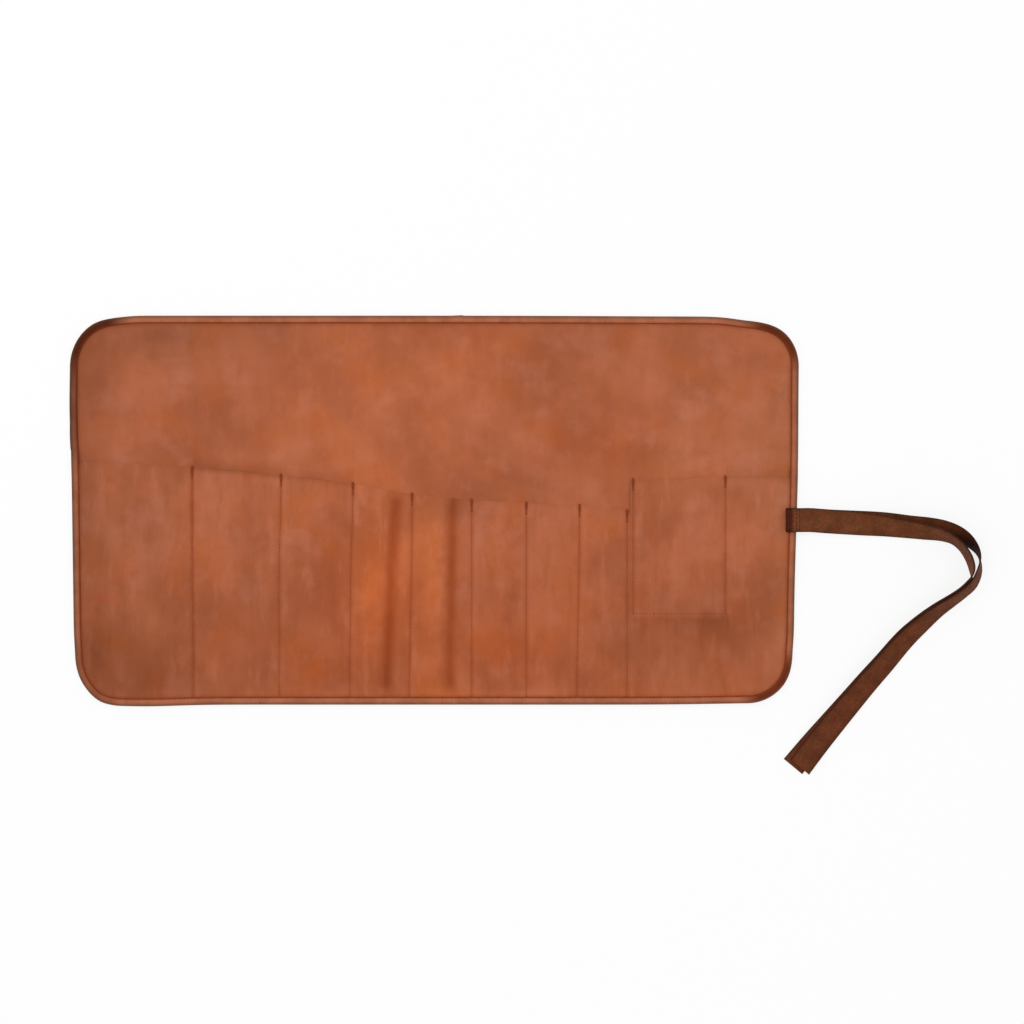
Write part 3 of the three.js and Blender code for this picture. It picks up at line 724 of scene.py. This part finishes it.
seam_thread = thread_finish("seam thread", (130, 59, 30), (152, 75, 43), (156, 80, 49))
tack_thread = thread_finish("bar tack thread", (132, 60, 28), (158, 78, 44), (158, 78, 44))
seam_stitch = stitch_tree(seam_thread, STITCH_PITCH, STITCH_LENGTH)
tack_stitch = stitch_tree(tack_thread, TACK_PITCH, TACK_WIDTH, turn=math.pi / 2)
for fold in range(len(folds)):
    seams, tacks = [], []
    for x, start in seam_lines():
        if not cuts[fold] <= x < cuts[fold + 1]:
            continue
        mouth = float(mouth_height(np.array(x)))
        tack = mouth - TACK_LENGTH
        seams += through(x, stations(SEAM_POINT_STEP, [sheet_bottom + max(start, SEAM_START), tack]))
        bar, under = through(x, stations(TACK_PITCH, [tack, mouth]))
        end = on_sheet(x, mouth + TACK_OVER, back_top + TACK_END)
        tacks += [np.vstack([bar, end]), under]
    left = max(cuts[fold], tool_left + TOOL_SEAM_SHIFT)
    right = min(cuts[fold + 1], seam_x[-1])
    if right - left > STITCH_LENGTH:
        seams += through(stations(SEAM_POINT_STEP, [left, right]), sheet_bottom + TOOL_FLOOR)
    if seams:
        bend_over(sewn(f"seam_stitches_{fold + 1:02d}", seams, seam_stitch, fading=True), fold)
    if tacks:
        bend_over(sewn(f"bar_tacks_{fold + 1:02d}", tacks, tack_stitch), fold)


# Edge binding
# A strip of thin soft leather, folded over the raw edges of the back and the fronts all round and sewn
# through near its inner edge. Its ends lap over each other on the upper edge and on the left side.
BINDING_THICKNESS = 0.0011
BINDING_CLIMB = 0.012  # length over which it steps up onto the pocket fronts
BINDING_STEP = 0.0030
CORNER_STEPS = 28
STITCH_INSET = 0.0070
STITCH_SUNK = 0.0004
LAP_RAISE = 0.0005
LAP_LENGTH = 0.013
LAP_END = 0.0002  # length of the step down at its end
UPPER_LAP_X = 0.0285
LEFT_LAP_Y = 0.0620
# Dark corners of the strip, by side across and side up: how dark, the brightness of that dark, and its
# reach down the side
CORNERS = {
    (-1, 1): (1.0, 1.0, 0.042),
    (1, 1): (0.97, 1.45, 0.014),
    (1, -1): (0.96, 1.65, 0.014),
    (-1, -1): (0.34, 1.5, 0.014),
}
CORNER_REACH = 0.014  # the dark runs out this far along the upper and lower edges
CORNER_FULL = CORNER_RADIUS / 3  # and is full this far into the corner
UPPER_LEFT_DARK = 0.54  # the left end is darker, most above its lap
LOWER_LEFT_DARK = 0.22
LEFT_DARK_FADE = 0.015
RIGHT_DARK = 0.10
INNER_COLOURS = (120, 64, 42), (120, 64, 42)  # inside the fold, on a straight run and at a corner
# Outer skin from the inner edge below, round the sheet's edge, to the inner edge above: place in from the
# edge, height above the lower (0) or the upper (1) face, colour on a straight run and at a corner. On a
# straight run the colours darken round the outer edge and into the groove at the inner edge, partly the
# strip's own colour and partly painted shade.
SKIN = [
    (0.0080, 0.0004, 0, (136, 74, 48), (112, 58, 36)),
    (0.0070, 0.0004, 0, (120, 58, 34), (96, 44, 24)),
    (0.0060, 0.0, 0, (150, 86, 60), (120, 64, 42)),
    (0.0012, 0.0, 0, (150, 88, 64), (112, 60, 40)),
    (0.0004, 0.0003, 0, (134, 84, 62), (100, 58, 40)),
    (0.0, 0.0011, 0, (128, 84, 64), (94, 58, 42)),
    (0.0, -0.0014, 1, (128, 86, 66), (94, 60, 44)),
    (0.0004, -0.0006, 1, (132, 88, 66), (92, 56, 40)),
    (0.0012, -0.00012, 1, (130, 83, 59), (88, 46, 28)),
    (0.0023, 0.00012, 1, (150, 93, 67), (80, 35, 16)),
    (0.0038, 0.00020, 1, (170, 103, 74), (76, 30, 11)),
    (0.0052, 0.00012, 1, (173, 101, 70), (80, 31, 10)),
    (0.0061, -0.0001, 1, (168, 95, 63), (88, 35, 12)),
    (0.0067, -0.0004, 1, (154, 78, 46), (96, 39, 14)),
    (0.0073, -0.0004, 1, (143, 66, 35), (101, 42, 16)),
    (0.0080, -0.0009, 1, (143, 66, 34), (108, 47, 20)),
]
SKIN_START = 0.0008  # flat place of the strip's first edge
RUN_SPREAD = 1.7  # the runs take their clouds from places this many times as far apart


def tube(name, rings, flat, tint):
    """Closed skin through a row of rings of points, with both ends capped."""
    index = np.arange(rings.shape[0] * rings.shape[1]).reshape(rings.shape[:2])
    beside = np.roll(index, -1, axis=1)
    quads = np.stack([index[:-1], beside[:-1], beside[1:], index[1:]], -1)
    faces = quads.reshape(-1, 4).tolist() + [index[0, ::-1].tolist(), index[-1].tolist()]
    points = rings.reshape(-1, 3)
    piece = finished_mesh(name, points, faces, flat.reshape(-1, 2), tint.reshape(-1, 3), sharp=55)
    work = bmesh.new()
    work.from_mesh(piece.data)
    bmesh.ops.recalc_face_normals(work, faces=work.faces)
    work.to_mesh(piece.data)
    work.free()
    return piece


def corner_run(middle_x, middle_y, start):
    """Quarter round of the sheet's edge: places, and directions inward."""
    turn = start + np.linspace(0, math.pi / 2, CORNER_STEPS)
    out = np.column_stack([np.cos(turn), np.sin(turn)])
    return np.array([middle_x, middle_y]) + CORNER_RADIUS * out, -out


def straight_run(start, end, inward, marks=()):
    """Straight run of the sheet's edge, with the marks among its places."""
    start, end = np.array(start), np.array(end)
    length = np.linalg.norm(end - start)
    shares = stations(BINDING_STEP / length, sorted({0.0, 1.0, *[m for m in marks if 0 < m < 1]}))
    return start + (end - start) * shares[:, None], np.tile(inward, (len(shares), 1))


def lap_marks(start, end, at):
    """Shares of a run at which a lap begins and ends, from coordinates along it."""
    return [(place - start) / (end - start) for place in (at - LAP_LENGTH, at, at + LAP_END)]


def end_run(near, marks=()):
    """Run round the left end of the sheet, from near on its upper edge to near on its lower one."""
    x = sheet_left + CORNER_RADIUS
    low, high = sheet_bottom + CORNER_RADIUS, sheet_top - CORNER_RADIUS
    upper = straight_run((near, sheet_top), (x, sheet_top), (0, -1))
    side = straight_run((sheet_left, high), (sheet_left, low), (1, 0), marks)
    lower = straight_run((x, sheet_bottom), (near, sheet_bottom), (0, 1))
    later = [corner_run(x, high, math.pi / 2), side, corner_run(x, low, math.pi), lower]
    return [np.vstack([first] + [run[n][1:] for run in later]) for n, first in enumerate(upper)]


def edge_runs(fold):
    """Runs of the sheet's edge on one fold's piece, with the sheet on their left."""
    left, right = cuts[fold], cuts[fold + 1]
    if fold == 0:
        marks = lap_marks(sheet_top - CORNER_RADIUS, sheet_bottom + CORNER_RADIUS, LEFT_LAP_Y)
        return [end_run(right, marks)]
    if fold == LAST_FOLD:
        place, inward = end_run(-left)  # the right end is the left one turned half round
        return [(-place, -inward)]
    marks = lap_marks(right, left, UPPER_LAP_X)
    upper = straight_run((right, sheet_top), (left, sheet_top), (0, -1), marks)
    return [straight_run((left, sheet_bottom), (right, sheet_bottom), (0, 1)), upper]


def lap(place):
    """How far the binding stands proud at places on the edge, where its ends lap."""
    x, y = place.T
    upper = (y > sheet_top - TINY) * (x <= UPPER_LAP_X) * ramp(x, UPPER_LAP_X - LAP_LENGTH, UPPER_LAP_X)
    lap_top = LEFT_LAP_Y + LAP_LENGTH
    left = (x < sheet_left + TINY) * (y >= LEFT_LAP_Y) * ramp(y, lap_top + LAP_LENGTH, lap_top)
    return LAP_RAISE * (upper + left)


def stack_height(place):
    """Thickness of the leather that the binding goes round, where it climbs onto the fronts."""
    mouth = mouth_height(place[:, 0])
    climb = ramp(place[:, 1], mouth + BINDING_CLIMB, mouth)
    return back_top - back_under + FRONT_THICKNESS * climb


def corner_dark(place):
    """0 on the straight runs and up to 1 in a corner, where the strip bunches and darkens, and its tone."""
    past = np.abs(place) - (np.array([sheet_right, sheet_top]) - CORNER_RADIUS)
    rows = []
    for (x, y), (past_x, past_y) in zip(place, past):
        dark, tone, reach = CORNERS[math.copysign(1, x), math.copysign(1, y)]
        share = min(ramp(past_x, -CORNER_REACH, CORNER_FULL), ramp(past_y, -reach, CORNER_FULL))
        rows.append((dark * eased(share), tone))
    return np.array(rows).T[..., None]


def end_shade(place):
    """How much of its brightness the binding keeps along the two ends of the sheet."""
    x, y = place.T
    left = ramp(x, sheet_left + CORNER_RADIUS, sheet_left)
    right = ramp(x, sheet_right - CORNER_RADIUS, sheet_right)
    upper = ramp(y, LEFT_LAP_Y - LEFT_DARK_FADE, LEFT_LAP_Y + LEFT_DARK_FADE)
    dark = LOWER_LEFT_DARK + (UPPER_LEFT_DARK - LOWER_LEFT_DARK) * upper
    return 1 - dark * left - RIGHT_DARK * right


def binding_rings(place, inward):
    """Rings of the folded strip along a run of the edge, with their flat places and colours."""
    height = stack_height(place) + 2 * BINDING_THICKNESS
    proud = lap(place)
    thick = BINDING_THICKNESS
    inside = [(BINDING_WIDTH, -thick, 1), (thick, -thick, 1), (thick, thick, 0), (BINDING_WIDTH, thick, 0)]
    skin = SKIN + [(*spot, *INNER_COLOURS) for spot in inside]
    step = np.linalg.norm(np.diff(place, axis=0), axis=1)
    along = np.concatenate([[0], np.cumsum(step)])
    bend, tone = corner_dark(place)
    kept = end_shade(place)[:, None]
    rings, flat, tints = [], [], []
    across = SKIN_START
    for n, (u, z, upper, straight, bent) in enumerate(skin):
        raised = proud * (n < len(SKIN) and u < STITCH_INSET)
        spot = place + inward * (u - raised)[:, None]
        level = z + upper * (height + raised)
        rings.append(np.column_stack([*laid(spot[:, 0], spot[:, 1]), level]))
        if n > 0:
            across += math.hypot(u - skin[n - 1][0], z - skin[n - 1][1])
        flat.append(np.column_stack([along + place[0, 0] * RUN_SPREAD, np.full(len(along), across)]))
        straight, bent = np.array(srgb(*straight)[:3]), np.array(srgb(*bent)[:3])
        tints.append((straight + (bent * tone - straight) * bend) * kept ** (1 - bend))
    return np.stack(rings, 1), np.stack(flat, 1), np.stack(tints, 1)


def binding_finish(name):
    """Thin brown binding leather, its colour given along its section, with clouds and pores over it."""
    material, flat = flat_material(name)
    clouds = flat.cloud(46)
    pores = flat.cloud(1100, 2)
    mottled = clouds.stepped(0.35, 0.65).between((0.88, 0.86, 0.85, 1.0), (1.1, 1.1, 1.12, 1.0))
    pitted = (pores.stepped(0.55, 0.75) * 0.2).between((1.0, 1.0, 1.0, 1.0), (0.40, 0.34, 0.30, 1.0))
    colour = flat.attribute("tint").vector("MULTIPLY", mottled).vector("MULTIPLY", pitted)
    colour.surface(0.56 + pores * 0.16, 0.07, pores + clouds, 0.2, 0.0004)
    return material


binding_leather = binding_finish("binding leather")
binding_thread = thread_finish("binding thread", (108, 46, 22), (134, 60, 31), (134, 60, 31))
binding_stitch = stitch_tree(binding_thread, STITCH_PITCH, STITCH_LENGTH)
for fold in range(len(folds)):
    strips, stitch_lines = [], []
    for place, inward in edge_runs(fold):
        strips.append(tube(f"strip_{len(strips)}", *binding_rings(place, inward)))
        inner = (place + inward * STITCH_INSET).T
        level = stack_height(place) + 2 * BINDING_THICKNESS - STITCH_SUNK
        stitch_lines += [on_sheet(*inner, level), on_sheet(*inner, STITCH_SUNK)]
    piece = strips[0]
    if len(strips) > 1:
        with bpy.context.temp_override(active_object=piece, selected_editable_objects=strips):
            bpy.ops.object.join()
    piece.name = f"edge_binding_{fold + 1:02d}"
    piece.data.materials.append(binding_leather)
    bend_over(piece, fold)
    if fold == 0:
        nodes = ["binding_left_end", "binding_top_02", "binding_bottom_02"]
    elif fold == LAST_FOLD:
        nodes = ["binding_right_end", "binding_top_12", "binding_bottom_12"]
    else:
        nodes = [f"binding_{edge}_{n:02d}" for edge in ("top", "bottom") for n in (fold + 1, fold + 2)]
    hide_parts(*nodes)
    bend_over(sewn(f"binding_stitches_{fold + 1:02d}", stitch_lines, binding_stitch), fold)


# Tie strap
# One strip of dark brown pebbled leather, 24 mm wide, folded in half. The fold is sewn down over the
# binding on the right-hand side, and the two tails lie loose on the table, rolling over at their bend.
STRAP_WIDTH = 0.024
STRAP_THICKNESS = 0.0018
STRAP_LAYER_STEP = 0.0021
STRAP_MIDDLE_Y = -0.010
UPPER_TAIL_LENGTH = 0.461
LOWER_TAIL_LENGTH = 0.4735
LOWER_TAIL_SHORT = 0.004
ROUTE_SPLIT = 5  # smooth steps between two points of the route
FOLD_STEPS = 12
FOLD_POINT_STEP = 0.0012
FOLD_BAR = 0.0070  # the fold's end, darkened by burnishing
FOLD_BAR_TINT = (0.50, 0.24, 0.18)
FOLD_BAR_BLUR = 0.001
FOLD_STITCH_INSETS = (0.0042, 0.0028)  # rows of stitches, in from the fold's end and from the sheet's edge
FOLD_STITCH_HALF = 0.0095
FLESH_TINT = (0.88, 0.82, 0.78)  # the strap's flesh side, which shows past the bend
FLESH_SHIFT = 0.05  # it takes its pebbles from elsewhere
BEND_ROW = 10.1  # where on the route the lower tail's face turns away from the light and gets painted shade
BEND_REACH = 1.0
BEND_PAINTED_SHADE = (0.30, 0.24, 0.22)
# Route of the upper tail from the sheet's edge: out, up, roll in degrees, how far the lower tail's roll
# lags behind it, spread of the tails beyond touching, sideways shift of the lower tail, and the share of
# the binding's height at which the strap still hangs. The points are those of the solid tails.
TAIL_ROUTE = [
    (0.0003, 0.0, 0, 0, 0.0, 0.0, 1.0),
    (0.012, 0.0, 0, 0, 0.0, 0.0, 0.82),
    (0.028, -0.0012, 0, 0, 0.0, 0.0, 0.36),
    (0.047, -0.0025, 8, 7, 0.0, 0.0, 0.06),
    (0.066, -0.0042, 20, 14, 0.0, 0.0, 0.0),
    (0.086, -0.0064, 34, 17, 0.0, 0.0, 0.0),
    (0.107, -0.0092, 44, 16, 0.0001, 0.0002, 0.0),
    (0.126, -0.012, 52, 20, 0.0002, 0.0004, 0.0),
    (0.142, -0.0152, 63, 21, 0.0005, 0.0008, 0.0),
    (0.1545, -0.0206, 74, 20, 0.0016, 0.001, 0.0),
    (0.1635, -0.029, 78, 8, 0.0054, 0.0016, 0.0),
    (0.1695, -0.0395, 80, -12, 0.0106, 0.002, 0.0),
    (0.172, -0.0505, 87, -23, 0.0098, 0.001, 0.0),
    (0.17, -0.0615, 109, -7, 0.0034, -0.0017, 0.0),
    (0.162, -0.071, 115, -1, 0.0006, -0.0014, 0.0),
    (0.1505, -0.0796, 119, 0, 0.0003, -0.001, 0.0),
    (0.137, -0.089, 126, 0, 0.0001, -0.0011, 0.0),
    (0.122, -0.1015, 136, 0, 0.0, -0.0012, 0.0),
    (0.104, -0.1185, 145, 0, 0.0, -0.0012, 0.0),
    (0.084, -0.142, 151, 0, 0.0, -0.0012, 0.0),
    (0.0672, -0.161, 155, 0, 0.0, -0.0014, 0.0),
    (0.0494, -0.182, 161, 0, 0.0, -0.0017, 0.0),
    (0.0318, -0.2026, 168, 0, 0.0, -0.0024, 0.0),
    (0.013, -0.2244, 175, 0, 0.0, -0.0038, 0.0),
    (-0.0056, -0.2466, 180, 0, 0.0, -0.0056, 0.0),
]
# Half of the strap's section: share of half the width, share of half the thickness, tint
STRAP_SECTION = [
    (-0.97, 0.7, 0.42),
    (-0.93, 0.95, 0.56),
    (-0.86, 1.03, 0.86),
    (-0.5, 1.06, 1.0),
    (0.0, 1.06, 1.03),
    (0.5, 1.06, 1.0),
    (0.86, 1.03, 0.86),
    (0.93, 0.95, 0.56),
    (0.97, 0.7, 0.42),
    (1.0, 0.0, 0.32),
]


def smooth_route():
    """The route with even steps on a smooth curve through its points."""
    rows = np.array(TAIL_ROUTE)
    padded = np.vstack([2 * rows[0] - rows[1], rows, 2 * rows[-1] - rows[-2]])
    made = []
    for i in range(len(rows) - 1):
        a, b, c, d = padded[i : i + 4]
        for t in np.arange(ROUTE_SPLIT) / ROUTE_SPLIT:
            made.append(b + 0.5 * t * (c - a + t * (2 * a - 5 * b + 4 * c - d + t * (3 * (b - c) + d - a))))
    return np.vstack([made, rows[-1]])


def strap_directions(heading, lean):
    """Directions across the strap and out of its upper face, for a lean about its heading."""
    beside = np.column_stack([-heading[:, 1], heading[:, 0], np.zeros(len(heading))])
    upright = np.array([0.0, 0.0, 1.0])
    cosine, sine = np.cos(lean)[:, None], np.sin(lean)[:, None]
    return cosine * beside + sine * upright, cosine * upright - sine * beside


def tail_frames(lower):
    """Centres of one tail with the directions across it and out of its face. The lower tail keeps its
    right-hand edge beside the upper tail's and leans by its own roll."""
    out, up, roll, lag, spread, shift, hang = smooth_route().T
    centre = np.column_stack([sheet_right + out, STRAP_MIDDLE_Y + up])
    heading = np.gradient(centre, axis=0)
    heading /= np.linalg.norm(heading, axis=1)[:, None]
    lean, lower_lean = np.radians(roll), np.radians(roll - lag)
    across, face = strap_directions(heading, lean)
    lower_across, lower_face = strap_directions(heading, lower_lean)
    half = STRAP_WIDTH / 2
    step = STRAP_LAYER_STEP + spread
    rest = STRAP_THICKNESS / 2 * np.abs(np.cos(lean))
    lower_rest = STRAP_THICKNESS / 2 * np.abs(np.cos(lower_lean))
    below = np.maximum(lower_rest - rest + step * np.cos(lean) - shift * np.sin(lean), 0)
    level = half * np.abs(np.sin(lean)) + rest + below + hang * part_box("tie_strap_fold")[0].z
    middle = np.column_stack([centre, level])
    if lower:
        middle = middle - face * step[:, None] + across * (shift - half)[:, None] + lower_across * half
        middle[-1, :2] -= LOWER_TAIL_SHORT * heading[-1]
        return middle, lower_across, lower_face
    return middle, across, face


def strap_rings(middle, across, face):
    """Rings of the strap's rounded section along its middle, with flat places and tints."""
    section = STRAP_SECTION + [(-share, -high, tint) for share, high, tint in STRAP_SECTION]
    step = np.linalg.norm(np.diff(middle, axis=0), axis=1)
    along = np.concatenate([[0], np.cumsum(step)])
    rings, flat, tints = [], [], []
    for share, high, tint in section:
        rings.append(middle + across * share * STRAP_WIDTH / 2 + face * high * STRAP_THICKNESS / 2)
        under = FLESH_SHIFT * (high < 0)
        flat.append(np.column_stack([along, np.full(len(along), share * STRAP_WIDTH / 2 + under)]))
        tints.append(np.full((len(along), 3), tint) * (FLESH_TINT if high < 0 else (1.0, 1.0, 1.0)))
    return np.stack(rings, 1), np.stack(flat, 1), np.stack(tints, 1)


def strap_finish(name):
    """Dark brown pebbled leather, blotched olive and red, with burnished, nearly black edges."""
    material, flat = flat_material(name)
    olive = flat.cloud(95).stepped(0.50, 0.66)
    red = flat.vector("ADD", (0.7, 0.4, 0.2)).cloud(110).stepped(0.52, 0.68)
    cells = {"Vector": flat, "Scale": 520, "Randomness": 0.9}
    pebble = flat.node("ShaderNodeTexVoronoi", sockets=cells).stepped(0.15, 0.62)
    colour = flat.cloud(60).stepped(0.35, 0.65).between(srgb(104, 55, 28), srgb(123, 68, 39))
    colour = colour.layered((olive * 0.45, (88, 58, 30)), (red * 0.40, (120, 54, 32)))
    colour = colour.layered((pebble * 0.36, (70, 36, 18)))
    colour = colour.vector("MULTIPLY", flat.attribute("tint"))
    colour.surface(0.60 + pebble * 0.15, 0.10, 1 - pebble, 0.3, 0.0005)
    return material


strap_leather = strap_finish("strap leather")
for lower, side, length in ((False, "upper", UPPER_TAIL_LENGTH), (True, "lower", LOWER_TAIL_LENGTH)):
    middle, across, face = tail_frames(lower)
    rings, flat, tints = strap_rings(middle, across, face)
    rings[:, :, 2] = np.maximum(rings[:, :, 2], 0)  # it lies on the table
    # painted shade on the lower tail's face, where it turns away from the light at the bend
    if lower:
        row = np.arange(len(middle)) / ROUTE_SPLIT
        tints = tinted(tints, bell(row - BEND_ROW, BEND_REACH)[:, None], BEND_PAINTED_SHADE)
    tail = tube(f"strap_tail_{side}", rings, flat, tints)
    tail.data.materials.append(strap_leather)
    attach(tail, "stretch_13")
    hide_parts(f"tie_tail_{side}")

fold_low, fold_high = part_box("tie_strap_fold")
turn_radius = STRAP_LAYER_STEP / 2
turn = np.linspace(-math.pi / 2, -math.pi * 1.5, FOLD_STEPS)
turn_x = fold_low.x + turn_radius + STRAP_THICKNESS / 2
level = (fold_low.z + fold_high.z) / 2
layer_x = stations(FOLD_POINT_STEP, [turn_x, fold_high.x])[1:]
round_z = level + turn_radius * np.sin(turn)
path_x = np.concatenate([layer_x[::-1], turn_x + turn_radius * np.cos(turn), layer_x])
path_z = np.concatenate([np.full(len(layer_x), round_z[0]), round_z, np.full(len(layer_x), round_z[-1])])
middle = np.column_stack([path_x, np.full(path_x.shape, STRAP_MIDDLE_Y), path_z])
heading = np.gradient(middle, axis=0)
heading /= np.linalg.norm(heading, axis=1)[:, None]
across = np.tile([0.0, 1.0, 0.0], (len(middle), 1))
rings, flat, tints = strap_rings(middle, across, np.cross(heading, across))
bar_end = fold_low.x + FOLD_BAR
burnt = ramp(path_x, bar_end + FOLD_BAR_BLUR, bar_end - FOLD_BAR_BLUR)
tints = tinted(tints, burnt[:, None], FOLD_BAR_TINT)
strap_fold = tube("strap_fold", rings, flat, tints)
strap_fold.data.materials.append(strap_leather)
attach(strap_fold, "stretch_13")
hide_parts("tie_strap_fold")

strap_rows = []
y = stations(SEAM_POINT_STEP, [STRAP_MIDDLE_Y - FOLD_STITCH_HALF, STRAP_MIDDLE_Y + FOLD_STITCH_HALF])
for x in (fold_low.x + FOLD_STITCH_INSETS[0], fold_high.x - FOLD_STITCH_INSETS[1]):
    strap_rows.append(np.column_stack([np.full(y.shape, x), y, np.full(y.shape, fold_high.z)]))
strap_thread = thread_finish("strap thread", (46, 22, 12), (70, 34, 20), (70, 34, 20))
strap_stitch = stitch_tree(strap_thread, STITCH_PITCH, STITCH_LENGTH)
strap_stitches = sewn("strap_stitches", strap_rows, strap_stitch)
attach(strap_stitches, "stretch_13")


# Table, light and camera
# A white table top under soft light from all round, with one broad lamp above the upper left. The camera
# looks straight down, as in the photograph.
TABLE_HALF = 4.0
FRAME_WIDTH = 1.024
VIEW_CENTRE = (0.0775, -0.0019)
VIEW_HEIGHT = 3.0
SENSOR = 36.0
SKY_LIGHT = 0.80
LAMP_POWER = 28.0
LAMP_SIZE = 2.2
LAMP_PLACE = (-0.9, 1.2, 3.2)
TABLE_GLOW = 0.82  # share of plain white that the camera sees on the table, over its shadow


def seen_plainly(shade):
    """1 for what the camera sees, also in a reflection or through something clear."""
    camera = shade.node("ShaderNodeLightPath")
    others = camera.socket.node.outputs
    mirrored = Shade(shade.tree, others["Is Glossy Ray"])
    passed = Shade(shade.tree, others["Is Transmission Ray"])
    return camera.math("MAXIMUM", camera.math("MAXIMUM", camera, mirrored), passed)


table_mesh = bpy.data.meshes.new("table")
table_corners = [(x * TABLE_HALF, y * TABLE_HALF, 0) for x, y in ((-1, -1), (1, -1), (1, 1), (-1, 1))]
table_mesh.from_pydata(table_corners, [], [(0, 1, 2, 3)])
table = placed("table", table_mesh)
table_white, shade = new_material("white table")
board = shade.node("ShaderNodeBsdfDiffuse", sockets={"Color": (0.97, 0.97, 0.97, 1.0)})
glow = shade.node("ShaderNodeEmission", sockets={"Color": (1.0, 1.0, 1.0, 1.0), "Strength": 1.0})
both = {"Fac": seen_plainly(shade) * TABLE_GLOW, "Shader": board, "Shader_001": glow}
both = shade.node("ShaderNodeMixShader", sockets=both)
shade.node("ShaderNodeOutputMaterial", sockets={"Surface": both})
table_mesh.materials.append(table_white)
table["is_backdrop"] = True

world = bpy.data.worlds.new("studio")
bpy.context.scene.world = world
world.use_nodes = True
world.node_tree.nodes.clear()
sky = Shade(world.node_tree)
strength = SKY_LIGHT + seen_plainly(sky) * (1 - SKY_LIGHT)
background = sky.node("ShaderNodeBackground", sockets={"Color": (1.0, 1.0, 1.0, 1.0), "Strength": strength})
sky.node("ShaderNodeOutputWorld", sockets={"Surface": background})

lamp_data = bpy.data.lights.new("soft lamp", "AREA")
lamp_data.energy = LAMP_POWER
lamp_data.shape = "DISK"
lamp_data.size = LAMP_SIZE
lamp = placed("soft lamp", lamp_data)
lamp.location = LAMP_PLACE
aim = np.array([*VIEW_CENTRE, 0.0]) - np.array(LAMP_PLACE)
tilt = math.atan2(math.hypot(aim[0], aim[1]), -aim[2])
lamp.rotation_euler = (tilt, 0, math.atan2(aim[1], aim[0]) - math.pi / 2)

camera_data = bpy.data.cameras.new("camera")
camera_data.sensor_width = SENSOR
camera_data.lens = SENSOR * (VIEW_HEIGHT - back_top) / FRAME_WIDTH
camera = placed("camera", camera_data)
camera.location = (*VIEW_CENTRE, VIEW_HEIGHT)
bpy.context.scene.camera = camera
bpy.context.scene.view_settings.view_transform = "Standard"

low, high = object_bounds()
